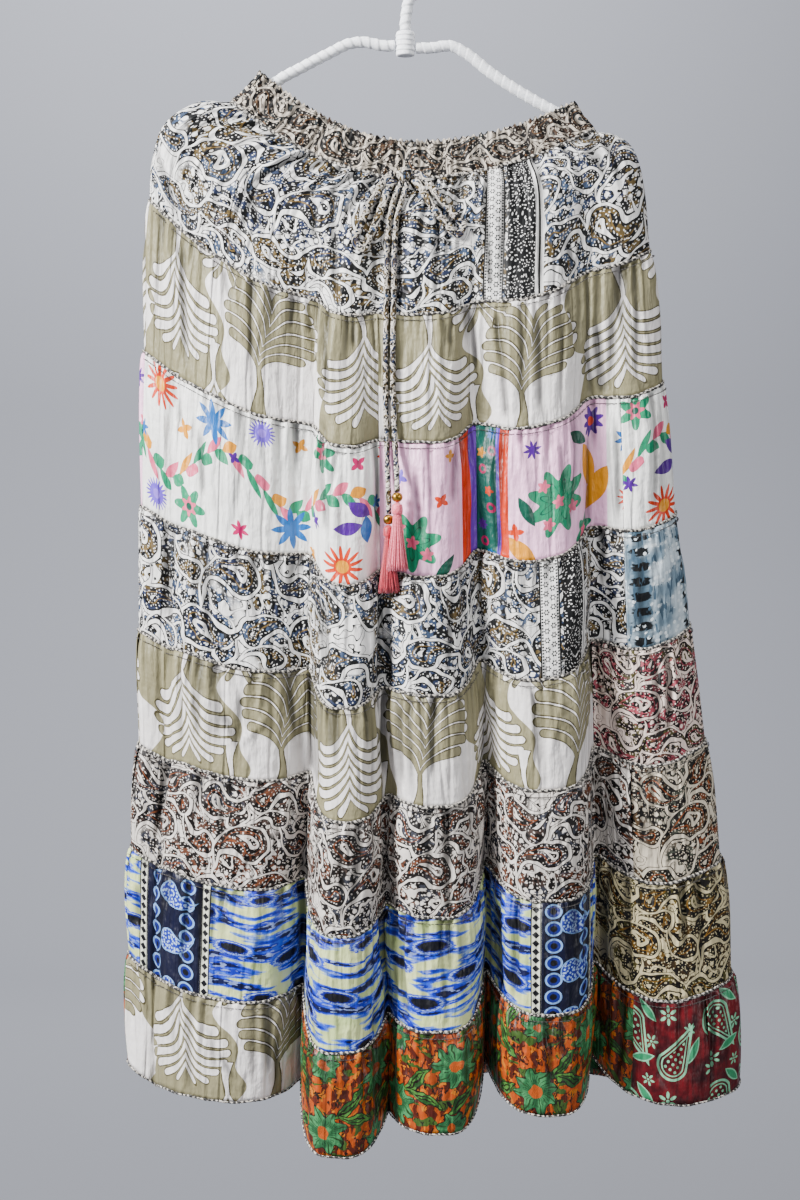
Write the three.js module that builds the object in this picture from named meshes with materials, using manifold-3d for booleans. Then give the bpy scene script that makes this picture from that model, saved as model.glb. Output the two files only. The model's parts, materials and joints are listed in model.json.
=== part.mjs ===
// A long tiered skirt with a shirred waistband, a tied drawstring and two tassels, on a taped wire hanger.
// Millimetres, +Z up. The front faces -Y and +X is to the right as the front is looked at.
// The origin is the inside of the top of the hanger's hook, where a rail carries it.
import * as THREE from 'three';
import { mergeVertices } from 'three/addons/utils/BufferGeometryUtils.js';
import Module from 'manifold-3d';

const wasm = await Module();
wasm.setup();

// Cloth walls, and the gap that parts one sewn piece from the next.
const CLOTH_WALL = 1.2;
const BAND_WALL = 2.4;
const SEAM_GAP = 0.3;

// Level rings round the skirt, from the waist's top edge to the hem. Left and right are the side edges,
// mid is the height at the front's centre, leftUp and rightUp are how much higher the sides are pulled,
// depth is half the front-to-back size, fold is the share of each fold's full size at that ring,
// power is how late the ring starts to climb towards its sides, and round is 1 for an ellipse and less for
// a ring with blunter ends, as where the waist wraps the hanger's arms.
const RINGS = [
  { name: 'waist', left: -134, right: 156, mid: -172, leftUp: 66, rightUp: 38, depth: 15, fold: 0, power: 2.0, round: 0.55 },
  { name: 'casing', left: -162, right: 176, mid: -207, leftUp: 74, rightUp: 47, depth: 20, fold: 0.02, power: 2.0, round: 0.6 },
  { name: 'shoulder_1', left: -194, right: 195, mid: -226, leftUp: 91, rightUp: 61, depth: 26, fold: 0.04, power: 2.1, round: 0.7 },
  { name: 'shoulder_2', left: -224, right: 212, mid: -248, leftUp: 94, rightUp: 70, depth: 33, fold: 0.07, power: 2.1, round: 0.8 },
  { name: 'shoulder_3', left: -236, right: 222, mid: -284, leftUp: 97, rightUp: 73, depth: 39, fold: 0.11, power: 2.2, round: 0.9 },
  { name: 'seam_1', left: -239, right: 228, mid: -332, leftUp: 110, rightUp: 62, depth: 43, fold: 0.17, power: 2.3, round: 1 },
  { name: 'seam_2', left: -244, right: 239, mid: -446, leftUp: 84, rightUp: 54, depth: 49, fold: 0.3, power: 2.4, round: 1 },
  { name: 'seam_3', left: -247, right: 250, mid: -564, leftUp: 60, rightUp: 52, depth: 53, fold: 0.44, power: 2.6, round: 1 },
  { name: 'seam_4', left: -249, right: 262, mid: -668, leftUp: 50, rightUp: 54, depth: 57, fold: 0.58, power: 3.0, round: 1 },
  { name: 'seam_5', left: -249, right: 275, mid: -764, leftUp: 42, rightUp: 45, depth: 60, fold: 0.71, power: 3.5, round: 1 },
  { name: 'seam_6', left: -256, right: 288, mid: -860, leftUp: 44, rightUp: 34, depth: 63, fold: 0.82, power: 4.5, round: 1 },
  { name: 'seam_7', left: -258, right: 298, mid: -960, leftUp: 46, rightUp: 28, depth: 65, fold: 0.91, power: 6.0, round: 1 },
  { name: 'hem', left: -259, right: 305, mid: -1048, leftUp: 34, rightUp: 16, depth: 66, fold: 1, power: 8.0, round: 1 },
];

// The large folds, one row each, in the order left side, front, right side, back. A fold runs from its own
// trough to the next row's. Turns are degrees round the skirt from START_TURN, at the casing and at the hem.
// Out is how far trough and crest stand proud of the ring at the hem, and drop is how much lower they hang.
const FOLDS = [
  { name: 'left side', casingTurn: 2, hemTurn: 2, troughOut: -6, troughDrop: 0, crestOut: 0, crestDrop: 14 },
  { name: 'left front', casingTurn: 44, hemTurn: 38, troughOut: -10, troughDrop: 30, crestOut: 8, crestDrop: 6 },
  { name: 'second', casingTurn: 88.7, hemTurn: 78.4, troughOut: -34, troughDrop: -8, crestOut: 30, crestDrop: 50 },
  { name: 'centre', casingTurn: 101.5, hemTurn: 96.4, troughOut: -20, troughDrop: 18, crestOut: 22, crestDrop: 30 },
  { name: 'fourth', casingTurn: 125.5, hemTurn: 115, troughOut: -42, troughDrop: -24, crestOut: 28, crestDrop: 13 },
  { name: 'right front', casingTurn: 161.5, hemTurn: 137, troughOut: -36, troughDrop: -30, crestOut: 16, crestDrop: 14 },
  { name: 'right side', casingTurn: 202, hemTurn: 196, troughOut: -6, troughDrop: 4, crestOut: 4, crestDrop: 6 },
  { name: 'back right', casingTurn: 232, hemTurn: 226, troughOut: -26, troughDrop: -4, crestOut: 22, crestDrop: 10 },
  { name: 'back second', casingTurn: 254, hemTurn: 254, troughOut: -30, troughDrop: -8, crestOut: 26, crestDrop: 14 },
  { name: 'back centre', casingTurn: 274, hemTurn: 272, troughOut: -24, troughDrop: -2, crestOut: 24, crestDrop: 10 },
  { name: 'back fourth', casingTurn: 294, hemTurn: 294, troughOut: -32, troughDrop: -8, crestOut: 26, crestDrop: 12 },
  { name: 'back left', casingTurn: 324, hemTurn: 322, troughOut: -20, troughDrop: -4, crestOut: 16, crestDrop: 8 },
];
const START_TURN = 194.4;

// How far a fold's sides are pinched in towards its troughs, and how flat its crest is.
const PINCH = 0.78;
const CREST_FLATNESS = 1.5;

// Fold phases of the side seams: phase 0.5 is the left side's crest and phase 6 is behind the right side.
const LEFT_SEAM = 0.5;
const RIGHT_SEAM = 6;
const BACK_END = FOLDS.length + LEFT_SEAM;

// Columns of faces in one fold, at the front and at the back.
const FRONT_COLUMNS = 8;
const BACK_COLUMNS = 6;

// Gathers below each seam: how many in one fold, how far they stand out, and how the whole tier puffs there.
const GATHERS_IN_A_FOLD = 1.5;
const GATHER_HEIGHT = 2.2;
const TIER_PUFF = 3;
const GATHER_SKEW = 0.6;
const FULLEST_ROW = 0.32;

// The waistband's elastic wrinkles, all round.
const BAND_WRINKLES = 44;
const WRINKLE_HEIGHT = 1.4;

// The pieces round each level, by fold phase, with their ground colours.
const PANELS = [
  { name: 'waistband_front', top: 'waist', bottom: 'casing', from: LEFT_SEAM, to: RIGHT_SEAM, colour: '#8a7a6c' },
  { name: 'waistband_back', top: 'waist', bottom: 'casing', from: RIGHT_SEAM, to: BACK_END, colour: '#8a7a6c' },
  { name: 'tier_1_front', top: 'casing', bottom: 'seam_1', from: LEFT_SEAM, to: RIGHT_SEAM, colour: '#a8a7a8' },
  { name: 'tier_1_back', top: 'casing', bottom: 'seam_1', from: RIGHT_SEAM, to: BACK_END, colour: '#a8a7a8' },
  { name: 'tier_2_front_left', top: 'seam_1', bottom: 'seam_2', from: LEFT_SEAM, to: 3, colour: '#c4c0b6' },
  { name: 'tier_2_front_right', top: 'seam_1', bottom: 'seam_2', from: 3, to: RIGHT_SEAM, colour: '#b4af9c' },
  { name: 'tier_2_back', top: 'seam_1', bottom: 'seam_2', from: RIGHT_SEAM, to: BACK_END, colour: '#c4c0b6' },
  { name: 'tier_3_front_left', top: 'seam_2', bottom: 'seam_3', from: LEFT_SEAM, to: 3, colour: '#e8e7e2' },
  { name: 'tier_3_front_pink', top: 'seam_2', bottom: 'seam_3', from: 3, to: 5.25, colour: '#ddb6cb' },
  { name: 'tier_3_front_right', top: 'seam_2', bottom: 'seam_3', from: 5.25, to: RIGHT_SEAM, colour: '#e8e7e2' },
  { name: 'tier_3_back_right', top: 'seam_2', bottom: 'seam_3', from: RIGHT_SEAM, to: 9, colour: '#e8e7e2' },
  { name: 'tier_3_back_left', top: 'seam_2', bottom: 'seam_3', from: 9, to: BACK_END, colour: '#ddb6cb' },
  { name: 'tier_4_front', top: 'seam_3', bottom: 'seam_4', from: LEFT_SEAM, to: 5.25, colour: '#a8a7a8' },
  { name: 'tier_4_front_right', top: 'seam_3', bottom: 'seam_4', from: 5.25, to: RIGHT_SEAM, colour: '#8fa3b0' },
  { name: 'tier_4_back', top: 'seam_3', bottom: 'seam_4', from: RIGHT_SEAM, to: BACK_END, colour: '#a8a7a8' },
  { name: 'tier_5_front', top: 'seam_4', bottom: 'seam_5', from: LEFT_SEAM, to: 5, colour: '#b4af9c' },
  { name: 'tier_5_front_right', top: 'seam_4', bottom: 'seam_5', from: 5, to: RIGHT_SEAM, colour: '#b39c8e' },
  { name: 'tier_5_back', top: 'seam_4', bottom: 'seam_5', from: RIGHT_SEAM, to: BACK_END, colour: '#b4af9c' },
  { name: 'tier_6_front', top: 'seam_5', bottom: 'seam_6', from: LEFT_SEAM, to: 5.25, colour: '#9b8f86' },
  { name: 'tier_6_front_right', top: 'seam_5', bottom: 'seam_6', from: 5.25, to: RIGHT_SEAM, colour: '#8f8072' },
  { name: 'tier_6_back', top: 'seam_5', bottom: 'seam_6', from: RIGHT_SEAM, to: BACK_END, colour: '#9b8f86' },
  { name: 'tier_7_front', top: 'seam_6', bottom: 'seam_7', from: LEFT_SEAM, to: 5, colour: '#7c9ad0' },
  { name: 'tier_7_front_right', top: 'seam_6', bottom: 'seam_7', from: 5, to: RIGHT_SEAM, colour: '#8d7f60' },
  { name: 'tier_7_back', top: 'seam_6', bottom: 'seam_7', from: RIGHT_SEAM, to: BACK_END, colour: '#7c9ad0' },
  { name: 'tier_8_front_left', top: 'seam_7', bottom: 'hem', from: LEFT_SEAM, to: 2, colour: '#c4c0b6' },
  { name: 'tier_8_front_middle', top: 'seam_7', bottom: 'hem', from: 2, to: 5.5, colour: '#b4561c' },
  { name: 'tier_8_front_right', top: 'seam_7', bottom: 'hem', from: 5.5, to: RIGHT_SEAM, colour: '#8a1020' },
  { name: 'tier_8_back', top: 'seam_7', bottom: 'hem', from: RIGHT_SEAM, to: BACK_END, colour: '#b4561c' },
];

// The hanger's taped wire, its hook, and the twisted neck that joins the hook and the two arms.
const WIRE_RADIUS = 5.6;
const WIRE_SIDES = 10;
const HOOK_RADIUS = 20;
const NECK_RADIUS = 9;
const NECK_TOP = -67;
const NECK_BOTTOM = -90;
const ARM_STEPS = 18;
const HOOK_STEPS = 26;

// Arm routes from the neck to the tip inside the waistband, as x and z with y at 0.
const LEFT_ARM = [
  [-9.3, -80.5],
  [-19, -80.5],
  [-42, -77],
  [-52, -78.5],
  [-70, -87],
  [-98, -101.5],
  [-118, -112.5],
  [-127, -120],
  [-131.5, -127.5],
];
const RIGHT_ARM = [
  [9.3, -82.5],
  [23, -82.5],
  [44, -81],
  [56, -87],
  [79, -105],
  [107, -123.5],
  [132, -138],
  [146, -145.5],
  [155, -153.5],
];

// The drawstring: a knot, two flat loops, and two round tails that each end in a bead and a tassel.
const KNOT = { x: -1, y: -24.6, z: -205, width: 15, depth: 9, height: 13 };
const TAIL_DIAMETER = 5;
const TAIL_SIDES = 8;
const TAIL_STEPS = 26;
const LOOP_HALF_WIDTH = 3.2;
const LOOP_HALF_DEPTH = 1.6;
const LOOP_STEPS = 18;
const BEAD_RADIUS = 5;
const BEAD_HEIGHT = 9;

// Each tail's centreline, from just under the knot to just above its bead.
const FIRST_TAIL = [
  [1.8, -25.2, -212.5],
  [-2.2, -30, -226],
  [-7.6, -36.8, -246],
  [-10, -41.2, -275],
  [-10.5, -44.3, -305],
  [-11, -46.2, -335],
  [-11.5, -49.6, -370],
  [-11.5, -51.1, -405],
  [-10.4, -53, -435],
  [-9.2, -57.5, -460],
  [-8, -64, -481],
  [-7.5, -68.4, -494],
  [-7.5, -68.4, -500],
];
const SECOND_TAIL = [
  [-3.8, -25, -212.1],
  [-9.4, -30.2, -225],
  [-14.2, -35.8, -245],
  [-16.8, -40.2, -275],
  [-17.2, -42.4, -305],
  [-17.8, -44.2, -335],
  [-18.3, -48.6, -370],
  [-18.2, -48.8, -405],
  [-17.4, -49.3, -440],
  [-16.4, -51.8, -472],
  [-15.6, -55.6, -497],
  [-15.2, -59.2, -514],
  [-15.2, -59.2, -520],
];
const LEFT_LOOP = [
  [-10.6, -24.8, -202.6],
  [-17, -26.2, -208],
  [-28, -33.4, -226],
  [-41, -41.5, -254],
  [-46, -43.7, -270],
  [-40, -44.4, -276.5],
  [-32, -42, -263],
  [-21.5, -36.2, -236],
  [-15, -29.2, -217],
  [-10.2, -26, -209.8],
];
const RIGHT_LOOP = [
  [8.7, -24.8, -202.6],
  [15.5, -26.2, -207],
  [27, -32.6, -222],
  [44, -36.8, -243],
  [53, -37.6, -255],
  [48, -39.2, -262.5],
  [37, -40, -252],
  [22, -36.9, -232],
  [13.5, -29.6, -217],
  [8.4, -26, -209.8],
];

// Tassels: a wrapped head and rings of strands whose roots are fused into it.
const TASSEL_HEAD = { topRadius: 2.6, radius: 4.6, height: 13 };
const TASSEL_STRAND_LENGTH = 50;
const STRAND_RADIUS = 0.62;
const STRAND_SIDES = 3;
const STRAND_ROOT = 2;
const TIP_FLATTENING = 0.6;
const STRAND_RINGS = [
  { count: 6, rootRadius: 1.0, tipRadius: 2.0 },
  { count: 12, rootRadius: 2.2, tipRadius: 4.8 },
  { count: 18, rootRadius: 3.5, tipRadius: 7.6 },
];

const ringNumber = Object.fromEntries(RINGS.map((ring, index) => [ring.name, index]));

// A ring column's value between two rings, on the smooth cubic through the rings round it.
function ringValue(column, ring) {
  const first = Math.min(Math.max(Math.floor(ring), 0), RINGS.length - 2);
  const share = ring - first;
  const before = RINGS[Math.max(first - 1, 0)][column];
  const start = RINGS[first][column];
  const end = RINGS[first + 1][column];
  const after = RINGS[Math.min(first + 2, RINGS.length - 1)][column];
  const bend = 2 * before - 5 * start + 4 * end - after;
  const twist = 3 * (start - end) + after - before;
  return start + 0.5 * share * (end - before + share * (bend + share * twist));
}

// The value of a fold's trough and crest columns at a share of the way across it.
function foldValue(kind, fold, next, share) {
  const crest = 1 - (0.5 + 0.5 * Math.cos(2 * Math.PI * share)) ** CREST_FLATNESS;
  const blend = share * share * (3 - 2 * share);
  const trough = fold[`trough${kind}`] * (1 - blend) + next[`trough${kind}`] * blend;
  return trough * (1 - crest) + fold[`crest${kind}`] * crest;
}

// The smooth skirt: a flattened ring at each level, climbing to its sides, pushed in and out by the folds.
function skirtPoint(phase, ring) {
  const number = Math.floor(phase);
  const fold = FOLDS[number % FOLDS.length];
  const next = FOLDS[(number + 1) % FOLDS.length];
  const fullTurn = number + 1 === FOLDS.length ? 360 : 0;
  const wrap = number >= FOLDS.length ? 360 : 0;
  const down = Math.min(Math.max((ring - 1) / (RINGS.length - 2), 0), 1);
  const from = fold.casingTurn + (fold.hemTurn - fold.casingTurn) * down + wrap;
  const to = next.casingTurn + (next.hemTurn - next.casingTurn) * down + fullTurn + wrap;
  const share = phase - number;
  const growth = ringValue('fold', ring);
  const pinched = share - (PINCH * growth * Math.sin(2 * Math.PI * share)) / (2 * Math.PI);
  const angle = THREE.MathUtils.degToRad(START_TURN - (from + (to - from) * pinched));
  const left = ringValue('left', ring);
  const right = ringValue('right', ring);
  const halfWidth = (right - left) / 2;
  const depth = ringValue('depth', ring);
  const across = Math.cos(angle);
  const forward = -Math.sign(Math.sin(angle));
  const through = Math.abs(Math.sin(angle));
  const round = ringValue('round', ring);
  const normal = new THREE.Vector2(across / halfWidth, (forward * through ** (2 - round)) / (round * depth));
  normal.normalize();
  const out = foldValue('Out', fold, next, share) * growth;
  const drop = foldValue('Drop', fold, next, share) * growth;
  const up = ringValue(across < 0 ? 'leftUp' : 'rightUp', ring) * Math.abs(across) ** ringValue('power', ring);
  return new THREE.Vector3(
    (left + right) / 2 + halfWidth * across + normal.x * out,
    depth * forward * through ** round + normal.y * out,
    ringValue('mid', ring) + up - drop,
  );
}

// Unit directions along the cloth at a point: along the ring, down the skirt, and out of the cloth.
function clothDirections(phase, ring) {
  const step = 0.02;
  const ahead = skirtPoint(phase + step, ring);
  const along = ahead.sub(skirtPoint(phase - step, ring)).normalize();
  const above = skirtPoint(phase, Math.max(ring - step, 0));
  const down = skirtPoint(phase, Math.min(ring + step, RINGS.length - 1)).sub(above).normalize();
  const out = down.clone().cross(along).normalize();
  return { along, down, out };
}

// How far the gathers stand out at a fold phase, at a share of the way down a tier.
function tierGathers(phase, share, shift) {
  const fullness = Math.sin(Math.PI * share ** GATHER_SKEW);
  const wave = Math.sin(2 * Math.PI * GATHERS_IN_A_FOLD * phase + shift);
  return (TIER_PUFF + GATHER_HEIGHT * wave) * fullness;
}

// How far the elastic's wrinkles stand out, fading to nothing at the seam under the band.
function bandWrinkles(phase, share) {
  const wave = Math.sin((2 * Math.PI * BAND_WRINKLES * phase) / FOLDS.length);
  return WRINKLE_HEIGHT * (1 + wave) * (share < 1 ? 1 : 0);
}

// Fold phases of a panel's columns, with a multiple of the usual number in each fold.
function columnPhases(from, to, finer) {
  const phases = [from];
  const columns = (from < RIGHT_SEAM ? FRONT_COLUMNS : BACK_COLUMNS) * finer;
  for (let column = Math.floor(from * columns) + 1; column < to * columns; column += 1) {
    phases.push(column / columns);
  }
  phases.push(to);
  return phases;
}

// A closed wall from a grid of outer points, the same grid moved in, and the four edges between them.
function wallGeometry(outer, inner) {
  const rows = outer.length;
  const columns = outer[0].length;
  const positions = [...outer.flat(), ...inner.flat()].flatMap((point) => point.toArray());
  const layer = rows * columns;
  const corners = [];
  const quad = (a, b, c, d) => corners.push(a, b, c, a, c, d);
  const at = (row, column) => row * columns + column;
  for (let row = 0; row < rows - 1; row += 1) {
    for (let column = 0; column < columns - 1; column += 1) {
      const a = at(row, column);
      const b = at(row + 1, column);
      const c = at(row + 1, column + 1);
      const d = at(row, column + 1);
      quad(a, b, c, d);
      quad(layer + a, layer + d, layer + c, layer + b);
    }
  }
  for (let column = 0; column < columns - 1; column += 1) {
    const top = at(0, column);
    const low = at(rows - 1, column);
    quad(top + 1, layer + top + 1, layer + top, top);
    quad(low + 1, low, layer + low, layer + low + 1);
  }
  for (let row = 0; row < rows - 1; row += 1) {
    const first = at(row, 0);
    const last = at(row, columns - 1);
    quad(first + columns, first, layer + first, layer + first + columns);
    quad(last + columns, layer + last + columns, layer + last, last);
  }
  const geometry = new THREE.BufferGeometry();
  geometry.setAttribute('position', new THREE.Float32BufferAttribute(positions, 3));
  geometry.setIndex(corners);
  return geometry;
}

// One sewn piece of cloth: its outer points stand out by the gathers, and each edge keeps half the seam's gap.
function clothPanel(panel) {
  const top = ringNumber[panel.top];
  const bottom = ringNumber[panel.bottom];
  const isBand = panel.top === 'waist';
  const levels = bottom - top;
  const shares = levels > 1 ? Array.from({ length: levels + 1 }, (_, row) => row / levels) : [0, FULLEST_ROW, 1];
  const phases = columnPhases(panel.from, panel.to, isBand ? 2 : 1);
  const outer = [];
  const inner = [];
  for (const share of shares) {
    const ring = top + levels * share;
    const outerRow = [];
    const innerRow = [];
    for (const phase of phases) {
      const { along, down, out } = clothDirections(phase, ring);
      const point = skirtPoint(phase, ring);
      const sideways = (phase === panel.from ? 0.5 : 0) - (phase === panel.to ? 0.5 : 0);
      const lengthways = (share === 0 && !isBand ? 0.5 : 0) - (share === 1 && panel.bottom !== 'hem' ? 0.5 : 0);
      point.addScaledVector(out.clone().cross(down), sideways * SEAM_GAP);
      point.addScaledVector(along.clone().cross(out), lengthways * SEAM_GAP);
      const gathers = isBand ? 0 : tierGathers(phase, share, top);
      const wrinkles = isBand ? bandWrinkles(phase, share) : 0;
      outerRow.push(point.clone().addScaledVector(out, gathers + wrinkles));
      innerRow.push(point.clone().addScaledVector(out, gathers - (isBand ? BAND_WALL : CLOTH_WALL)));
    }
    outer.push(outerRow);
    inner.push(innerRow);
  }
  return wallGeometry(outer, inner);
}

// A closed tube of one section along a smooth curve through points.
function tubeAlong(points, section, steps) {
  const curve = new THREE.CatmullRomCurve3(points, false, 'centripetal');
  return new THREE.ExtrudeGeometry(section, { steps, bevelEnabled: false, extrudePath: curve, curveSegments: 1 });
}

// A round or oval section with a few sides.
function ovalSection(halfWidth, halfDepth, sides) {
  const shape = new THREE.Shape();
  for (let side = 0; side < sides; side += 1) {
    const angle = (2 * Math.PI * side) / sides;
    const x = halfWidth * Math.cos(angle);
    const y = halfDepth * Math.sin(angle);
    if (side === 0) shape.moveTo(x, y);
    else shape.lineTo(x, y);
  }
  return shape;
}

function hangerHook() {
  const centreHeight = WIRE_RADIUS - HOOK_RADIUS;
  const points = [
    new THREE.Vector3(0, 0, NECK_TOP + SEAM_GAP),
    new THREE.Vector3(0, 0, NECK_TOP + 8),
    new THREE.Vector3(1, 0, NECK_TOP + 17),
    new THREE.Vector3(4.2, 0, NECK_TOP + 30),
    new THREE.Vector3(13, 0, centreHeight - 15),
  ];
  for (let degrees = -8; degrees <= 205; degrees += 21.3) {
    const angle = THREE.MathUtils.degToRad(degrees);
    const x = HOOK_RADIUS * Math.cos(angle);
    points.push(new THREE.Vector3(x, 0, centreHeight + HOOK_RADIUS * Math.sin(angle)));
  }
  return tubeAlong(points, ovalSection(WIRE_RADIUS, WIRE_RADIUS, WIRE_SIDES), HOOK_STEPS);
}

function hangerNeck() {
  const profile = [
    new THREE.Vector2(0, NECK_BOTTOM),
    new THREE.Vector2(NECK_RADIUS - 3, NECK_BOTTOM),
    new THREE.Vector2(NECK_RADIUS, NECK_BOTTOM + 4),
    new THREE.Vector2(NECK_RADIUS, NECK_TOP - 8),
    new THREE.Vector2(NECK_RADIUS - 2.5, NECK_TOP),
    new THREE.Vector2(0, NECK_TOP),
  ];
  return new THREE.LatheGeometry(profile, 12).rotateX(Math.PI / 2);
}

function hangerArm(route) {
  const points = route.map(([x, z]) => new THREE.Vector3(x, 0, z));
  return tubeAlong(points, ovalSection(WIRE_RADIUS, WIRE_RADIUS, WIRE_SIDES), ARM_STEPS);
}

function drawstringTail(route) {
  const points = route.map(([x, y, z]) => new THREE.Vector3(x, y, z));
  const radius = TAIL_DIAMETER / 2;
  return tubeAlong(points, ovalSection(radius, radius, TAIL_SIDES), TAIL_STEPS);
}

function drawstringLoop(route) {
  const points = route.map(([x, y, z]) => new THREE.Vector3(x, y, z));
  return tubeAlong(points, ovalSection(LOOP_HALF_DEPTH, LOOP_HALF_WIDTH, TAIL_SIDES), LOOP_STEPS);
}

// A round form turned about the vertical, with its half-circle as the profile.
function turnedOval(radius, height, around, rows) {
  const profile = [];
  for (let row = 0; row <= rows; row += 1) {
    const angle = Math.PI * (row / rows - 0.5);
    const across = row === 0 || row === rows ? 0 : radius * Math.cos(angle);
    profile.push(new THREE.Vector2(across, (height / 2) * Math.sin(angle)));
  }
  return new THREE.LatheGeometry(profile, around).rotateX(Math.PI / 2);
}

function drawstringKnot() {
  return turnedOval(KNOT.width / 2, KNOT.height, 12, 8).scale(1, KNOT.depth / KNOT.width, 1);
}

// A solid for joining, from a geometry with its shared points merged.
function toSolid(geometry) {
  const bare = geometry.clone();
  bare.deleteAttribute('normal');
  bare.deleteAttribute('uv');
  const merged = mergeVertices(bare, 1e-3);
  return new wasm.Manifold(new wasm.Mesh({
    numProp: 3,
    vertProperties: merged.attributes.position.array,
    triVerts: new Uint32Array(merged.index.array),
  }));
}

function toGeometry(solid) {
  const { vertProperties, triVerts } = solid.getMesh();
  const geometry = new THREE.BufferGeometry();
  geometry.setAttribute('position', new THREE.BufferAttribute(vertProperties, 3));
  geometry.setIndex(new THREE.BufferAttribute(triVerts, 1));
  return geometry;
}

// One thread of a tassel: a thin tapered prism from inside the head down to its splayed tip.
function tasselStrand(ring, index) {
  const angle = (2 * Math.PI * (index + ring.count / 12)) / ring.count;
  const side = new THREE.Vector3(Math.cos(angle), Math.sin(angle), 0);
  const root = side.clone().multiplyScalar(ring.rootRadius).setZ(STRAND_ROOT);
  const tip = side.clone().multiplyScalar(ring.tipRadius).setZ(-TASSEL_STRAND_LENGTH);
  tip.y *= TIP_FLATTENING;
  const path = new THREE.LineCurve3(root, tip);
  const section = ovalSection(STRAND_RADIUS, STRAND_RADIUS, STRAND_SIDES);
  return new THREE.ExtrudeGeometry(section, { steps: 1, bevelEnabled: false, extrudePath: path });
}

// A tassel with the underside of its head at z = 0.
function tassel() {
  const head = TASSEL_HEAD;
  const profile = [
    new THREE.Vector2(0, 0),
    new THREE.Vector2(head.radius, 0),
    new THREE.Vector2(head.radius * 0.86, head.height * 0.35),
    new THREE.Vector2(head.radius, head.height * 0.6),
    new THREE.Vector2(head.topRadius, head.height),
    new THREE.Vector2(0, head.height),
  ];
  let solid = toSolid(new THREE.LatheGeometry(profile, 14).rotateX(Math.PI / 2));
  for (const ring of STRAND_RINGS) {
    for (let index = 0; index < ring.count; index += 1) {
      solid = solid.add(toSolid(tasselStrand(ring, index)));
    }
  }
  return toGeometry(solid);
}

const skirt = new THREE.Group();

function addMesh(name, geometry, colour, roughness, metalness, place) {
  const mesh = new THREE.Mesh(geometry, new THREE.MeshStandardMaterial({ color: colour, roughness, metalness }));
  mesh.name = name;
  if (place) mesh.position.set(...place);
  skirt.add(mesh);
}

for (const panel of PANELS) {
  addMesh(panel.name, clothPanel(panel), panel.colour, 0.75, 0);
}

addMesh('hanger_hook', hangerHook(), '#e6e9ee', 0.6, 0);
addMesh('hanger_neck', hangerNeck(), '#e6e9ee', 0.6, 0);
addMesh('hanger_arm_left', hangerArm(LEFT_ARM), '#e6e9ee', 0.6, 0);
addMesh('hanger_arm_right', hangerArm(RIGHT_ARM), '#e6e9ee', 0.6, 0);

addMesh('drawstring_knot', drawstringKnot(), '#a8a7a8', 0.8, 0, [KNOT.x, KNOT.y, KNOT.z]);
addMesh('drawstring_loop_left', drawstringLoop(LEFT_LOOP), '#a8a7a8', 0.8, 0);
addMesh('drawstring_loop_right', drawstringLoop(RIGHT_LOOP), '#a8a7a8', 0.8, 0);

for (const [name, route, colour] of [['first', FIRST_TAIL, '#e8607a'], ['second', SECOND_TAIL, '#d0304f']]) {
  const [x, y, z] = route[route.length - 1];
  const beadHeight = z - SEAM_GAP - BEAD_HEIGHT / 2;
  const headHeight = beadHeight - BEAD_HEIGHT / 2 - SEAM_GAP - TASSEL_HEAD.height;
  addMesh(`drawstring_tail_${name}`, drawstringTail(route), '#a8a7a8', 0.8, 0);
  addMesh(`bead_${name}`, turnedOval(BEAD_RADIUS, BEAD_HEIGHT, 12, 8), '#b08a3a', 0.35, 1, [x, y, beadHeight]);
  addMesh(`tassel_${name}`, tassel(), colour, 0.7, 0, [x, y, headHeight]);
}

export default skirt;
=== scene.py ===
# %% [markdown]
# # A long patchwork skirt in gathered tiers, on its hanger
# The lesson dresses a plain CAD frame of the skirt. Each tier of cloth is a surface that
# numpy works out from two numbers: a place round the skirt, counted in folds, and a place
# down it, counted in seams. The cloth's prints are drawn by shader maths on a map that is
# measured in metres of cloth, so they gather and fold as the cloth does.

import json

import bpy
import numpy as np
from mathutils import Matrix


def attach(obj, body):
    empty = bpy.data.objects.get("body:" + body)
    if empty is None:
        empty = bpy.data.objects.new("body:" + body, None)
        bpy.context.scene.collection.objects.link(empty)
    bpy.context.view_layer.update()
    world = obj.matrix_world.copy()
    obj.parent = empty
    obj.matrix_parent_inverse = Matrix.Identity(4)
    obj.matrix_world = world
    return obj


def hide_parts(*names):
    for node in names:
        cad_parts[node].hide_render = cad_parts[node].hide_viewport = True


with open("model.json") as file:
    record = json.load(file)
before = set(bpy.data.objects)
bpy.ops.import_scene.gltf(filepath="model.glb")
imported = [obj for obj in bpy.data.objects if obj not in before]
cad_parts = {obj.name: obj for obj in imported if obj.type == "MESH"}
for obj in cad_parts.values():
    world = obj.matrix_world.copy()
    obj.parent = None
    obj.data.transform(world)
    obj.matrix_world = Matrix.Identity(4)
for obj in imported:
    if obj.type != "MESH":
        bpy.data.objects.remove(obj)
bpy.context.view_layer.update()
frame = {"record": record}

# %% [markdown]
# ## The camera
# The skirt is seen straight on, from a little over two metres. A lens of about 74 mm keeps
# the far and the near folds close to one scale, as a studio picture of a garment does.

# %% The camera, straight in front of the middle of the picture
PICTURE_MIDDLE = (-0.005, -0.598)
PICTURE_PIXELS = (800, 1200)
PIXEL_SIZE = 0.000934
PICTURE_HEIGHT = 1.1208
CAMERA_DISTANCE = 2.3
SENSOR_SIZE = 36

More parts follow.
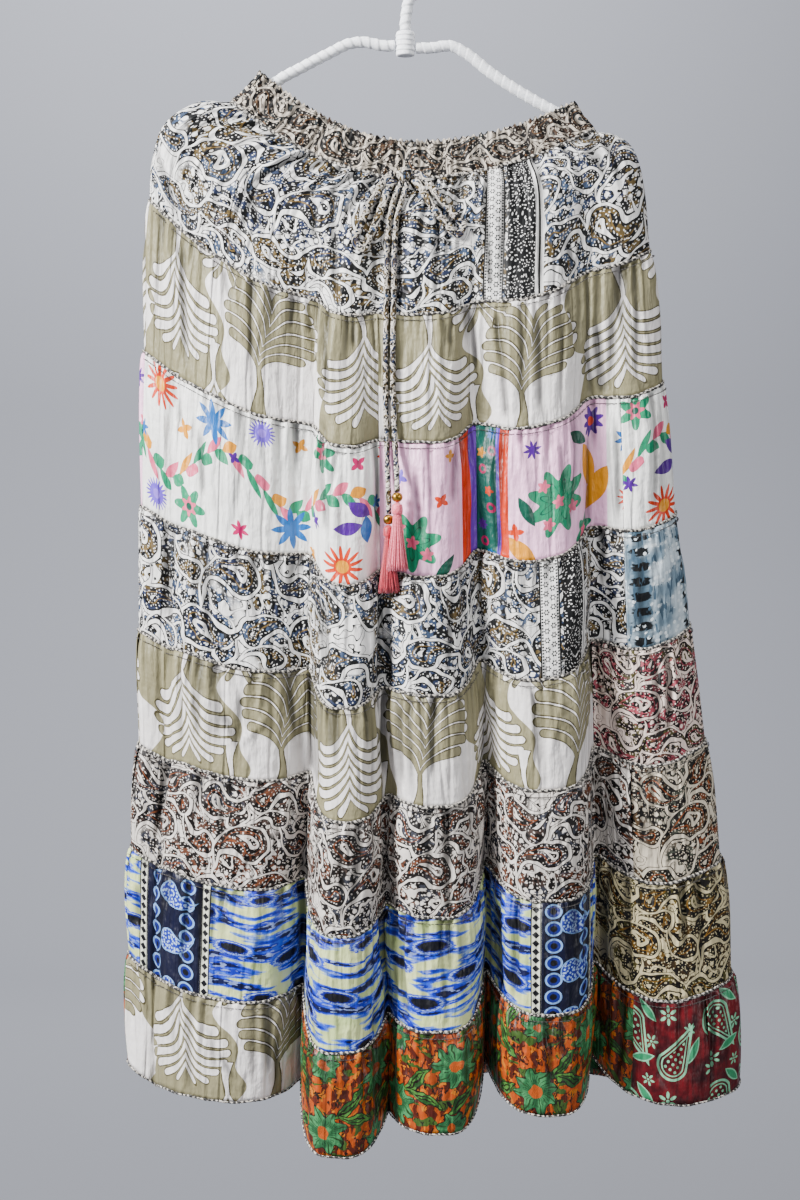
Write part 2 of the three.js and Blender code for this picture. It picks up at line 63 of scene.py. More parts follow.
camera_data = bpy.data.cameras.new("front_camera")
camera_data.lens = SENSOR_SIZE * CAMERA_DISTANCE / PICTURE_HEIGHT
camera_data.clip_end = 30
camera = bpy.data.objects.new("front_camera", camera_data)
bpy.context.scene.collection.objects.link(camera)
camera.location = (PICTURE_MIDDLE[0], -CAMERA_DISTANCE, PICTURE_MIDDLE[1])
camera.rotation_euler = (np.pi / 2, 0, 0)
bpy.context.scene.camera = camera
print("camera lens:", round(camera_data.lens, 1), "mm")

# %% [markdown]
# ## Surfaces and swept forms
# Two helpers make nearly every piece. One turns a grid of points into a mesh with a map,
# for cloth. The other carries a round or flat section along a route, for cords, wire,
# stitches and braids. Both take whole arrays, so no loop walks over the points.

# %% Grids of points made into meshes
def new_piece(name, points, faces, cloth_map=None):
    """Makes a smooth object from points and faces, with a map in metres of cloth if one is
    given."""
    mesh = bpy.data.meshes.new(name)
    mesh.from_pydata(np.asarray(points).reshape(-1, 3).tolist(), [], [list(f) for f in faces])
    if cloth_map is not None:
        corners = np.empty(len(mesh.loops), dtype=np.int32)
        mesh.loops.foreach_get("vertex_index", corners)
        layer = mesh.uv_layers.new(name="cloth")
        layer.data.foreach_set("uv", np.asarray(cloth_map).reshape(-1, 2)[corners].ravel())
    mesh.polygons.foreach_set("use_smooth", np.ones(len(mesh.polygons), dtype=bool))
    mesh.update()
    made = bpy.data.objects.new(name, mesh)
    bpy.context.scene.collection.objects.link(made)
    return made


def grid_faces(rows, columns):
    """Gives the four corners of each face of a grid, in the order that faces out of the skirt."""
    first = np.arange(rows - 1)[:, None] * columns + np.arange(columns - 1)
    corners = [first, first + columns, first + columns + 1, first + 1]
    return np.stack(corners, axis=-1).reshape(-1, 4)


def ring_faces(rings, sides):
    """Gives the faces of a tube whose rings follow each other, with a flat cap at each end."""
    first = np.arange(rings - 1)[:, None] * sides
    side = np.arange(sides)
    after = (side + 1) % sides
    corners = [first + side, first + sides + side, first + sides + after, first + after]
    walls = np.stack(corners, axis=-1).reshape(-1, 4).tolist()
    last = (rings - 1) * sides
    return walls + [list(range(sides)), list(range(last, last + sides))[::-1]]


def unit(vectors):
    """Scales each vector to a length of one."""
    return vectors / np.maximum(np.linalg.norm(vectors, axis=-1, keepdims=True), 1e-12)


def full_turn(sides):
    """Gives even angles once round, one for each side of a ring."""
    return np.linspace(0, 2 * np.pi, sides, endpoint=False)


def lengths_along(points):
    """Gives the distance along a line of points, from its start to each point."""
    steps = np.linalg.norm(np.diff(points, axis=0), axis=1)
    return np.concatenate([[0], np.cumsum(steps)])


def even_route(points, step):
    """Draws a smooth curve through a few points, by cubic pieces whose slope at a point is
    half the way from the one before it to the one after, and cuts it at even steps."""
    points = np.asarray(points, dtype=float)
    knots = lengths_along(points)
    slopes = np.gradient(points, knots, axis=0)
    fine = np.linspace(0, knots[-1], 40 * len(points))
    piece = np.clip(np.searchsorted(knots, fine, side="right") - 1, 0, len(points) - 2)
    span = (knots[piece + 1] - knots[piece])[:, None]
    share = (fine - knots[piece])[:, None] / span
    start, end = points[piece], points[piece + 1]
    leave, arrive = slopes[piece] * span, slopes[piece + 1] * span
    curve = start + share * leave
    curve += share**2 * (3 * (end - start) - 2 * leave - arrive)
    curve += share**3 * (2 * (start - end) + leave + arrive)
    along = lengths_along(curve)
    places = np.linspace(0, along[-1], max(int(round(along[-1] / step)), 3) + 1)
    return np.stack([np.interp(places, along, curve[:, axis]) for axis in range(3)], axis=1)


def swept(name, route, facing, half_width, half_depth, sides, rounded=0.0):
    """Carries an oval along a route. The oval's depth points the way that facing points, and
    its width across. Both may be arrays, one row a ring and one column a side. Ends that are
    rounded close in a quarter circle over that length."""
    along = lengths_along(route)
    ahead = unit(np.gradient(route, axis=0))
    across = unit(np.cross(ahead, np.broadcast_to(facing, route.shape)))
    upward = np.cross(across, ahead)
    from_end = np.minimum(along, along[-1] - along)
    close = np.ones(len(route))
    if rounded:
        inward = 1 - np.clip(from_end / rounded, 0, 1)
        close = np.sqrt(np.maximum(1 - inward**2, 0.01))
    angle = np.broadcast_to(full_turn(sides), (len(route), sides))
    width = half_width * close[:, None] * np.cos(angle)
    depth = half_depth * close[:, None] * np.sin(angle)
    rings = route[:, None, :] + width[..., None] * across[:, None, :]
    rings = rings + depth[..., None] * upward[:, None, :]
    turn = np.broadcast_to(np.linspace(0, 1, sides, endpoint=False), angle.shape)
    rim = np.pi * (np.mean(half_width) + np.mean(half_depth))
    cloth_map = np.stack([np.broadcast_to(along[:, None], angle.shape), turn * rim], axis=-1)
    return new_piece(name, rings, ring_faces(len(route), sides), cloth_map)


def on_the_part(made, node=None):
    """Fixes a piece to the part's one body. Most pieces stand for a solid of the CAD frame,
    named by its node, and that solid is hidden."""
    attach(made, "root")
    if node:
        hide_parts(node)
    return made


SLOT_OF = {row["node"]: row["material_slot"] for row in frame["record"]["subparts"]}
print(len(SLOT_OF), "solids of the frame name their slots")

# %% [markdown]
# ## The drawstring's tails
# The drawstring is a tube of the yoke's cloth about 5 mm thick. It comes out of a knot
# under the middle of the waistband and hangs over the folds, each tail with a gilt bead
# and a tassel. Its route is the one that the CAD frame holds.

# %% The two tails' routes, in millimetres
TAIL_DIAMETER = 0.005
CORD_STEP, CORD_SIDES = 0.0012, 12
FIRST_TAIL = [
    (1.8, -25.2, -212.5), (-2.2, -30, -226), (-7.6, -36.8, -246), (-10, -41.2, -275),
    (-10.5, -44.3, -305), (-11, -46.2, -335), (-11.5, -49.6, -370), (-11.5, -51.1, -405),
    (-10.4, -53, -435), (-9.2, -57.5, -460), (-8, -64, -481), (-7.5, -68.4, -494),
    (-7.5, -68.4, -500),
]
SECOND_TAIL = [
    (-3.8, -25, -212.1), (-9.4, -30.2, -225), (-14.2, -35.8, -245), (-16.8, -40.2, -275),
    (-17.2, -42.4, -305), (-17.8, -44.2, -335), (-18.3, -48.6, -370), (-18.2, -48.8, -405),
    (-17.4, -49.3, -440), (-16.4, -51.8, -472), (-15.6, -55.6, -497), (-15.2, -59.2, -514),
    (-15.2, -59.2, -520),
]


def cord_route(points):
    """Gives a cord's even route in metres, with the places along it and the angles round it."""
    route = even_route(np.array(points) / 1000, CORD_STEP)
    return route, lengths_along(route)[:, None], full_turn(CORD_SIDES)[None, :]


def drawstring_tail(name, points):
    """A round cord along its route, creased by two slight ridges that turn round it."""
    route, along, turn = cord_route(points)
    creased = 1 + 0.07 * np.sin(2 * turn + along * 260) + 0.04 * np.sin(along * 900 + turn)
    radius = TAIL_DIAMETER / 2 * creased
    tail = swept(name, route, (0, -1, 0), radius, radius, CORD_SIDES)
    print(name, "is", round(along[-1, 0], 3), "m long")
    return tail, route


tail_first, route_first = drawstring_tail("drawstring_tail_first_cloth", FIRST_TAIL)
tail_second, route_second = drawstring_tail("drawstring_tail_second_cloth", SECOND_TAIL)

# %% [markdown]
# ## The skirt as one surface
# A cloth tier is widest along its own lower seam, and every seam is a flattened ring seen
# from above: left, right and middle in the picture, its depth, and how far its two ends
# rise. Twelve folds run down all of it. Between two folds' crests the cloth sinks into a
# trough, and the pinch makes the trough narrower than the crest, so the cloth turns under
# itself as a real fold does. The same tables shape the CAD frame. Only the trough behind the
# left front fold droops less here, which rounds the hem's left corner.

# %% The tables of seams and folds, in millimetres and degrees
SEAMS = """
seam     left right mid leftUp rightUp depth fold power round
waist    -134 156 -172 66 38 15 0 2.0 0.55
casing   -162 176 -207 74 47 20 0.02 2.0 0.6
yoke_1   -194 195 -226 91 61 26 0.04 2.1 0.7
yoke_2   -224 212 -248 94 70 33 0.07 2.1 0.8
yoke_3   -236 222 -284 97 73 39 0.11 2.2 0.9
seam_1   -239 228 -332 110 62 43 0.17 2.3 1
seam_2   -244 239 -446 84 54 49 0.30 2.4 1
seam_3   -247 250 -564 60 52 53 0.44 2.6 1
seam_4   -249 262 -668 50 54 57 0.58 3.0 1
seam_5   -249 275 -764 42 45 60 0.71 3.5 1
seam_6   -256 288 -860 44 34 63 0.82 4.5 1
seam_7   -258 298 -960 46 28 65 0.91 6.0 1
hem      -259 305 -1048 34 16 66 1 8.0 1
"""
FOLDS = """
fold         casing hem troughOut troughDrop crestOut crestDrop
left_side    2 2 -6 0 0 14
left_front   44 38 -10 17 8 8
second       88.7 78.4 -34 -8 30 50
centre       101.5 96.4 -20 18 22 30
fourth       125.5 115 -42 -24 28 13
right_front  161.5 137 -36 -30 16 14
right_side   202 196 -6 4 4 6
back_right   232 226 -26 -4 22 10
back_second  254 254 -30 -8 26 14
back_centre  274 272 -24 -2 24 10
back_fourth  294 294 -32 -8 26 12
back_left    324 322 -20 -4 16 8
"""
LAST_SEAM = 12
FOLD_COUNT = 12
START_TURN = 194.4
PINCH = 0.78
CREST_FLATNESS = 1.5
LEFT_SEAM, RIGHT_SEAM, BACK_END = 0.5, 6, 12.5


def table_columns(text):
    """Reads a table of words into one array for each column, named by the first line."""
    heads, *rows = [line.split() for line in text.strip().splitlines()]
    numbers = np.array([[float(word) for word in row[1:]] for row in rows])
    return dict(zip(heads[1:], numbers.T))


seams = table_columns(SEAMS)
folds = table_columns(FOLDS)
print(len(seams["left"]), "seams and", len(folds["hem"]), "folds")


# %% The surface's formula
def at_seam(column, ring):
    """Reads a column of the seams' table between its rows, on a smooth curve through them."""
    values = seams[column]
    first = np.clip(np.floor(ring), 0, LAST_SEAM - 1).astype(int)
    share = ring - first
    before, start = values[np.maximum(first - 1, 0)], values[first]
    end, after = values[first + 1], values[np.minimum(first + 2, LAST_SEAM)]
    bend = 2 * before - 5 * start + 4 * end - after
    twist = 3 * (start - end) + after - before
    return start + 0.5 * share * (end - before + share * (bend + share * twist))


def skirt(phase, ring):
    """Gives the cloth's points in metres. The phase counts folds round the skirt from its
    left side, by the front, and the ring counts seams down it. Each point starts on the
    seam's flattened ring, then moves out to a crest or in to a trough along the ring's own
    outward direction, and its height follows the seam's rise and the fold's droop."""
    phase, ring = np.broadcast_arrays(np.asarray(phase, float), np.asarray(ring, float))
    number = np.floor(phase)
    here = (number % FOLD_COUNT).astype(int)
    following = (here + 1) % FOLD_COUNT
    share = phase - number
    down = np.clip((ring - 1) / (LAST_SEAM - 1), 0, 1)
    turns = folds["casing"][:, None, None] * (1 - down) + folds["hem"][:, None, None] * down
    turns = turns.reshape(FOLD_COUNT, *down.shape)
    start = np.take_along_axis(turns, here[None], 0)[0]
    end = np.take_along_axis(turns, following[None], 0)[0] + 360 * (following == 0)
    growth = at_seam("fold", ring)
    pinched = share - PINCH * growth * np.sin(2 * np.pi * share) / (2 * np.pi)
    angle = np.radians(START_TURN - (start + (end - start) * pinched))
    across, forward, through = np.cos(angle), -np.sign(np.sin(angle)), np.abs(np.sin(angle))
    left, right, depth = at_seam("left", ring), at_seam("right", ring), at_seam("depth", ring)
    round_end = at_seam("round", ring)
    half_width = (right - left) / 2
    blunt = np.maximum(through, 1e-9) ** (2 - round_end)
    outward = unit(np.stack([across / half_width, forward * blunt / (round_end * depth)], -1))
    crest = 1 - (0.5 + 0.5 * np.cos(2 * np.pi * share)) ** CREST_FLATNESS
    blend = share**2 * (3 - 2 * share)

    def between(trough_column, crest_column):
        trough = folds[trough_column][here] * (1 - blend) + folds[trough_column][following] * blend
        return (trough * (1 - crest) + folds[crest_column][here] * crest) * growth

    out, drop = between("troughOut", "crestOut"), between("troughDrop", "crestDrop")
    rise = np.where(across < 0, at_seam("leftUp", ring), at_seam("rightUp", ring))
    x = (left + right) / 2 + half_width * across + outward[..., 0] * out
    y = depth * forward * through**round_end + outward[..., 1] * out
    z = at_seam("mid", ring) + rise * np.abs(across) ** at_seam("power", ring) - drop
    return np.stack([x, y, z], -1) / 1000


def cloth_directions(phase, ring):
    """Gives three unit directions on the cloth: along the seam, down it, and out of it."""
    step = 0.02
    along = unit(skirt(phase + step, ring) - skirt(phase - step, ring))
    above, below = np.maximum(ring - step, 0), np.minimum(ring + step, LAST_SEAM)
    down = unit(skirt(phase, below) - skirt(phase, above))
    return along, down, unit(np.cross(down, along))


middle = skirt(np.array([[3.5]]), np.array([[6.0]]))
print("a point in the middle of the front:", middle.round(3).tolist())

# %% [markdown]
# ## The cut pieces of cloth
# Every tier is sewn from a few widths of printed cloth, so each width is a piece of its own.
# The grid of a piece is cut at even lengths of cloth, closer on the front than on the back,
# and its map counts metres from its left edge and from its upper seam. The cloth puffs out
# under its seam in broad gathers, as the CAD frame's does, and small puckers start at the
# stitches and fade further down, each with its own strength, because a hand that feeds
# cloth under the needle never feeds it evenly. The table gives each piece's upper and lower
# seam, the folds where it starts and ends, and how far its print is shifted, in millimetres.

# %% The table of pieces
PIECES = """
piece               top bottom from to across down
tier_1_front        1 5 0.5 6 0 20
tier_1_back         1 5 6 12.5 300 20
tier_2_front_left   5 6 0.5 3 10 14
tier_2_front_right  5 6 3 6 2 6
tier_2_back         5 6 6 12.5 90 0
tier_3_front_left   6 7 0.5 3 0 4
tier_3_front_pink   6 7 3 5.25 0 0
tier_3_front_right  6 7 5.25 6 190 4
tier_3_back_right   6 7 6 9 60 4
tier_3_back_left    6 7 9 12.5 400 0
tier_4_front        7 8 0.5 5.25 -152 330
tier_4_front_right  7 8 5.25 6 0 0
tier_4_back         7 8 6 12.5 470 330
tier_5_front        8 9 0.5 5 -8 20
tier_5_front_right  8 9 5 6 0 0
tier_5_back         8 9 6 12.5 92 16
tier_6_front        9 10 0.5 5.25 15 0
tier_6_front_right  9 10 5.25 6 0 0
tier_6_back         9 10 6 12.5 0 0
tier_7_front        10 11 0.5 5 0 0
tier_7_front_right  10 11 5 6 0 0
tier_7_back         10 11 6 12.5 40 0
tier_8_front_left   11 12 0.5 2 -25 30
tier_8_front_middle 11 12 2 5.5 0 0
tier_8_front_right  11 12 5.5 6 13 0
tier_8_back         11 12 6 12.5 1000 10
"""
GATHERS_IN_A_FOLD = 1.5
GATHER_HEIGHT, TIER_PUFF, GATHER_SKEW = 2.2, 3, 0.6
CLOTH_THICKNESS = 0.0008
TIER_FULLNESS = (1.06, 1.03)
FRONT_STEPS = (0.0017, 0.0036)
BACK_STEPS = (0.0036, 0.0050)
SEAM_GAP = 0.00015
YOKE_GATHER = 1.5
SOFT_EDGE = 0.004

piece_names = [line.split()[0] for line in PIECES.strip().splitlines()[1:]]
piece_table = table_columns(PIECES)
print(len(piece_names), "widths of cloth")


# %% Puckers and creases
NEAR_FADE, FAR_FADE = 0.017, 0.07
NEAR_HEIGHT, FAR_HEIGHT, FAR_SHARE = 0.075, 0.35, 0.13
SETTLE_SHARE = 0.08


def picture_place(points):
    """Gives where points fall in the front picture, in pixels across and down."""
    size = CAMERA_DISTANCE / (points[..., 1] + CAMERA_DISTANCE) / PIXEL_SIZE
    across = PICTURE_PIXELS[0] / 2 + (points[..., 0] - PICTURE_MIDDLE[0]) * size
    down = PICTURE_PIXELS[1] / 2 - (points[..., 2] - PICTURE_MIDDLE[1]) * size
    return across, down


def puckers(round_way, below, seed):
    """Adds small waves whose lengths lie between 7 and 19 mm. Each wave's strength drifts
    slowly round the skirt. They start at the seam, are strongest just below it, and fade
    over the length of the tier."""
    numbers = np.random.default_rng(seed)
    heights = np.zeros_like(round_way)
    for wave_length in (0.0071, 0.0093, 0.0127, 0.0189):
        start, drift, slow = numbers.uniform(0, 6.28, 3)
        strength = 0.5 + 0.5 * np.sin(round_way / 0.047 + drift) * np.sin(round_way / 0.11 + slow)
        bend = 0.9 * np.sin(round_way / 0.031 + slow)
        angle = 2 * np.pi * round_way / wave_length + start + bend
        heights += wave_length * strength * np.sin(angle)
    near = np.minimum(below / SOFT_EDGE, 1) * np.exp(-below / NEAR_FADE)
    far = FAR_SHARE * np.exp(-below / FAR_FADE)
    return heights * (NEAR_HEIGHT * near + far * FAR_HEIGHT)


CREASES = """
tier x0 y0 x1 y1 width depth
yoke 157 151 181 231 3 -2.2
yoke 313 176 315 245 3 -1.8
yoke 333 176 335 300 3 -2.4
yoke 374 187 375 300 3 -2.0
yoke 398 199 397 304 3 -2.5
yoke 437 229 436 304 3 -1.5
yoke 485 177 492 304 3 -2.5
yoke 507 175 500 304 3 -1.8
yoke 540 158 541 302 3 -2.0
yoke 566 239 578 285 3 -1.5
yoke 587 147 608 174 4 -2.2
yoke 196 120 230 190 5 -0.8
yoke 240 150 262 235 4 -1.4
second 182 232 186 362 3 -2.5
second 223 268 232 304 3 -1.5
second 249 330 258 360 3 -1.0
second 294 295 290 327 3 -1.2
second 308 298 311 337 3 -1.5
second 327 298 328 405 3 -2.0
second 390 318 391 426 3 -2.5
second 470 307 476 369 3 -2.5
second 479 313 481 375 3 2.0
second 497 313 503 369 3 -3.0
second 503 369 507 418 3 -2.5
second 522 311 524 418 3 -1.5
second 538 309 541 418 3 -2.0
second 597 327 603 399 4 -2.5
second 636 258 637 388 3 -1.5
second 585 350 593 407 3 -1.0
second 446 323 449 346 3 -1.2
third 177 385 181 426 3 -1.5
third 200 431 204 495 3 -2.0
third 323 422 328 532 3 -3.0
third 333 440 333 537 3 1.5
third 375 440 376 527 3 -2.5
third 415 468 421 537 3 -2.2
third 454 449 453 504 3 -2.0
third 430 477 434 514 3 -1.0
third 497 450 499 560 4 -3.0
third 560 440 564 500 3 -1.5
third 585 430 588 540 3 -2.0
third 617 420 619 520 3 -2.5
fourth 167 550 170 624 3 -2.0
fourth 200 550 201 588 3 -1.5
fourth 255 557 257 590 3 -1.5
fourth 322 595 326 675 4 -3.0
fourth 378 583 379 684 3 -2.5
fourth 387 635 389 688 3 -2.0
fourth 451 590 449 675 3 -2.0
fourth 523 590 526 672 3 -1.8
fourth 640 560 642 640 3 -1.6
fifth 183 640 181 750 3 -1.5
fifth 224 715 237 742 4 -2.5
fifth 241 693 237 757 3 -2.0
fifth 268 717 237 746 3 2.0
fifth 313 662 315 784 4 -3.0
fifth 329 688 331 751 3 -1.5
fifth 382 688 384 773 3 -2.5
fifth 402 695 403 784 3 -2.0
fifth 355 706 361 720 3 -1.0
fifth 430 700 434 780 3 -1.6
fifth 535 690 540 770 4 -2.2
fifth 560 700 552 745 3 1.5
fifth 655 650 660 745 3 -2.0
sixth 235 877 262 850 3 -1.5
sixth 220 790 224 860 3 -1.8
sixth 342 840 344 900 3 -1.8
sixth 447 800 450 870 3 -2.2
sixth 640 770 646 850 4 -2.0
seventh 138 884 139 930 3 -2.0
seventh 200 879 202 972 3 -1.5
seventh 304 850 302 965 4 -3.0
seventh 342 854 342 926 3 -1.5
seventh 380 903 384 968 3 -2.5
seventh 397 907 407 1022 3 -2.5
seventh 449 868 451 975 3 -2.5
seventh 497 906 499 1002 4 -3.0
seventh 627 871 631 982 3 -2.5
seventh 606 875 603 971 4 -3.0
hem 187 999 189 1095 4 -1.2
hem 202 988 198 1060 3 1.5
hem 210 1026 216 1070 3 -1.2
hem 219 1053 235 1080 3 -1.5
hem 292 972 309 1014 3 -2.0
hem 313 1022 311 1118 3 -2.0
hem 376 1003 378 1118 4 -2.5
hem 597 967 603 1032 4 -3.0
hem 562 1009 562 1061 3 -1.5
hem 631 1028 633 1090 3 -1.5
hem 656 1080 670 1103 3 1.5
"""
PICTURE_MIRROR = 790
CREASE_STRENGTH = 1.4
RUNNING_PITCH = 0.009
PLEAT_DEPTH = 0.0022
creases = table_columns(CREASES)


def crease_heights(points, on_front):
    """Presses each crease of the table into the cloth: a soft trough or ridge along a line
    in the front picture, with a bell-shaped section, that fades out at both ends. The back
    takes the same creases, mirrored."""
    across, down = picture_place(points)
    if not on_front:
        across = PICTURE_MIRROR - across
    heights = np.zeros_like(across)
    for x0, y0, x1, y1, width, depth in zip(*creases.values()):
        along_x, along_y = x1 - x0, y1 - y0
        length = np.hypot(along_x, along_y)
        share = ((across - x0) * along_x + (down - y0) * along_y) / length**2
        aside = ((across - x0) * along_y - (down - y0) * along_x) / length
        fading = np.clip(np.minimum(share, 1 - share) * 4 + 0.25, 0, 1)
        heights += CREASE_STRENGTH * depth / 1000 * fading * np.exp(-((aside / width) ** 2))
    return heights


def running_creases(round_way, below, height, seed):
    """Adds many slight creases that run down from the stitches, about one in 9 mm, each
    with its own lean, width, depth and length."""
    numbers = np.random.default_rng(seed)
    first, last = round_way.min(), round_way.max()
    count = int((last - first) / RUNNING_PITCH)
    heights = np.zeros_like(round_way)
    for place in numbers.uniform(first, last, count):
        lean, bend = numbers.normal(0, 0.08), numbers.normal(0, 0.5)
        width, depth = numbers.uniform(0.0018, 0.0042), numbers.normal(-0.0006, 0.0013)
        reach = height * numbers.uniform(0.15, 1.0) ** 1.5 + 0.01
        aside = round_way - place - lean * below - bend * below**2
        fading = np.clip((reach - below) / (0.35 * reach), 0, 1)
        heights += depth * fading * np.exp(-((aside / width) ** 2))
    return heights


def cloth_grid(top, bottom, start, end, steps):
    """Cuts a piece of the skirt into a grid at even lengths of cloth. Gives the phases and
    rings of its points, the cloth's map, and the share of the way down."""
    fine = np.linspace(start, end, 900)
    across = lengths_along(skirt(fine, (top + bottom) / 2))
    columns = int(round(across[-1] / steps[0])) + 1
    places = np.linspace(0, across[-1], columns)
    fine_rings = np.linspace(top, bottom, 200)
    height = lengths_along(skirt((start + end) / 2, fine_rings))
    rows = int(round(height[-1] / steps[1])) + 1
    shares = np.linspace(0, 1, rows) ** 1.2
    phase = np.broadcast_to(np.interp(places, across, fine), (rows, columns))
    ring = np.interp(shares * height[-1], height, fine_rings)[:, None] + 0 * phase
    cloth_map = np.stack(np.meshgrid(places, shares * height[-1]), axis=-1)
    return phase, ring, cloth_map, (ring - top) / (bottom - top)


def add_pleats(made, depth):
    """Stores how deep each point lies in a crease, from 0 to 1. The cloth's colour darkens
    there, as the narrow bottom of a crease gets little light."""
    layer = made.data.attributes.new("pleat", "FLOAT", "POINT")
    layer.data.foreach_set("value", np.clip(depth, 0, 1).astype(np.float32).ravel())


def sewn_cloth(name, points, along, down, cloth_map, shift, pleats, thickness, fullness, **rests):
    """Draws a grid's edges in by a hair, so that pieces don't touch at a seam, and makes it a thin
    shell. The fullness is not used."""
    points[-1] -= down[-1] * SEAM_GAP
    points[:, 0] += along[:, 0] * SEAM_GAP
    points[:, -1] -= along[:, -1] * SEAM_GAP
    made = new_piece(name + "_cloth", points, grid_faces(*points.shape[:2]), cloth_map + shift)
    add_pleats(made, pleats)
    shell = made.modifiers.new("thickness", "SOLIDIFY")
    shell.thickness = thickness
    shell.offset = -1
    on_the_part(made, name)
    return made


def tier_puff(phase, top, share):
    """Gives how far a tier stands out in its broad gathers, a share of the way down it."""
    wave = np.sin(2 * np.pi * GATHERS_IN_A_FOLD * phase + top)
    return (TIER_PUFF + GATHER_HEIGHT * wave) * np.sin(np.pi * share**GATHER_SKEW) / 1000


def cloth_piece(name, top, bottom, start, end, *shift):
    """One width of a tier, puffed, gathered, puckered and creased."""
    on_front = end <= RIGHT_SEAM
    steps = FRONT_STEPS if on_front else BACK_STEPS
    phase, ring, cloth_map, share = cloth_grid(top, bottom, start, end, steps)
    points = skirt(phase, ring)
    along, down, out = cloth_directions(phase, ring)
    heights = tier_puff(phase, top, share)
    below = cloth_map[..., 1]
    round_way = cloth_map[..., 0] + start * 0.1
    settle = np.minimum((1 - share) / SETTLE_SHARE, 1)
    leaves_seam = np.minimum(below / SOFT_EDGE, 1) * settle
    running = running_creases(round_way, below, below.max(), int(top * 10 + start * 4))
    small = (running + crease_heights(points, on_front)) * leaves_seam
    small += puckers(round_way, below, int(top * 10)) * settle * (YOKE_GATHER if top == 1 else 1)
    points = points + out * (heights + small)[..., None]
    points[0] += down[0] * SEAM_GAP
    # Painted shade: each point's depth in its creases is stored, and it darkens the cloth's colour
    # there.
    shift, pleats = np.array(shift) / 1000, -small / PLEAT_DEPTH
    return sewn_cloth(
        name, points, along, down, cloth_map, shift, pleats, CLOTH_THICKNESS, TIER_FULLNESS
    )


cloths = {
    name: cloth_piece(name, *row) for name, row in zip(piece_names, zip(*piece_table.values()))
}

# %% [markdown]
# ## The waistband
# The waistband is the same light cloth sewn over elastic in several rows. Each row of
# stitches pulls the cloth flat, and between the rows it stands out in tight wrinkles.

# %% The elastic waistband
BAND_WRINKLES, WRINKLE_HEIGHT = 44, 1.4
ELASTIC_ROWS = 4
BAND_STEPS = (0.00125, 0.0014)
BAND_THICKNESS = 0.0014
BAND_FULLNESS = (1.15, 1.08)


def waistband(name, start, end):
    """A shirred band: fine wrinkles that fade at each row of elastic, over the broad ones."""
    phase, ring, cloth_map, share = cloth_grid(0, 1, start, end, BAND_STEPS)
    points = skirt(phase, ring)
    along, down, out = cloth_directions(phase, ring)
    broad = np.sin(2 * np.pi * BAND_WRINKLES * phase / FOLD_COUNT)
    round_way = cloth_map[..., 0] + start * 0.1
    between_rows = np.abs(np.sin(np.pi * ELASTIC_ROWS * share)) ** 0.7
    lean = 0.0016 * np.sin(share * 7 + round_way * 60)
    fine = np.sin(2 * np.pi * (round_way + lean) / 0.0058 + 2 * np.sin(round_way / 0.019))
    fine += 0.6 * np.sin(2 * np.pi * (round_way - lean) / 0.0083 + 3 * np.sin(round_way / 0.027))
    heights = WRINKLE_HEIGHT * (0.8 + 0.8 * broad) + (0.25 + 0.75 * between_rows) * 0.85 * fine
    points = points + out * heights[..., None] / 1000 * np.minimum((1 - share) / 0.06, 1)[..., None]
    points[..., 2] += 0.0012 * fine * np.maximum(1 - share / 0.15, 0)
    # Painted shade: where the wrinkles sink in, the stored value darkens the band's colour.
    pleats = 0.35 - 0.45 * fine - 0.5 * broad
    rests_on = ["hanger_arm_left", "hanger_arm_right"]
    cloths[name] = sewn_cloth(
        name, points, along, down, cloth_map, 0, pleats, BAND_THICKNESS, BAND_FULLNESS,
        rests_on=rests_on,
    )


waistband("waistband_front", LEFT_SEAM, RIGHT_SEAM)
waistband("waistband_back", RIGHT_SEAM, BACK_END)

# %% [markdown]
# ## Overlocked seams
# Each seam shows a rolled edge of black and ivory thread, about 3 mm wide, and the hem a
# narrower one. It is a flattened cord with a twist, carried along the seam. On the front a
# line of running stitches goes below it: one thread that dips under the cloth between the
# stitches.

# %% Seam edges and their stitches
BRAID_HALF_WIDTH, BRAID_HALF_DEPTH, BRAID_SIDES = 0.0015, 0.0010, 7
HEM_EDGE_SIZE = 0.6
STITCH_LENGTH, STITCH_DROP, STITCH_STEP, THREAD_RADIUS = 0.0034, 0.0055, 0.0009, 0.00026
TIER_HEIGHT = 0.1
BRAID_TURN, BRAID_LIFT, STITCH_LIFT = 0.0046, 0.0008, 0.0009
FRONT_BRAID_STEP, BACK_BRAID_STEP = 0.0011, 0.0019
seam_pieces = []


def seam_line(ring, start, end, step, below=0.0):
    """Gives an even line of points along a seam, a little below it, with the outward way."""
    fine = np.linspace(start, end, 1600)
    length = lengths_along(skirt(fine, ring))
    phase = np.interp(np.linspace(0, length[-1], int(length[-1] / step)), length, fine)
    _, down, out = cloth_directions(phase, ring)
    return skirt(phase, ring) + down * below, out, phase


def seam_edge(name, ring, start, end, step, size=1.0):
    """The rolled edge: a twisted, flattened cord that lies on the seam."""
    line, out, _ = seam_line(ring, start, end, step)
    along = lengths_along(line)
    wander = 0.0004 * np.sin(along / 0.011 + ring) + 0.0003 * np.sin(along / 0.0043)
    line = line + out * BRAID_LIFT
    line[:, 2] += wander
    uneven = 0.1 * np.sin(along / 0.0031 + 2 * np.sin(along / 0.017))[:, None]
    twist = 2 * full_turn(BRAID_SIDES)[None, :] + along[:, None] * 2 * np.pi / BRAID_TURN
    strands = size * (1 + uneven + 0.2 * np.sin(twist))
    width, depth = BRAID_HALF_WIDTH * strands, BRAID_HALF_DEPTH * strands
    edge = swept(name, line, out, width, depth, BRAID_SIDES, rounded=0.002)
    seam_pieces.append(on_the_part(edge))


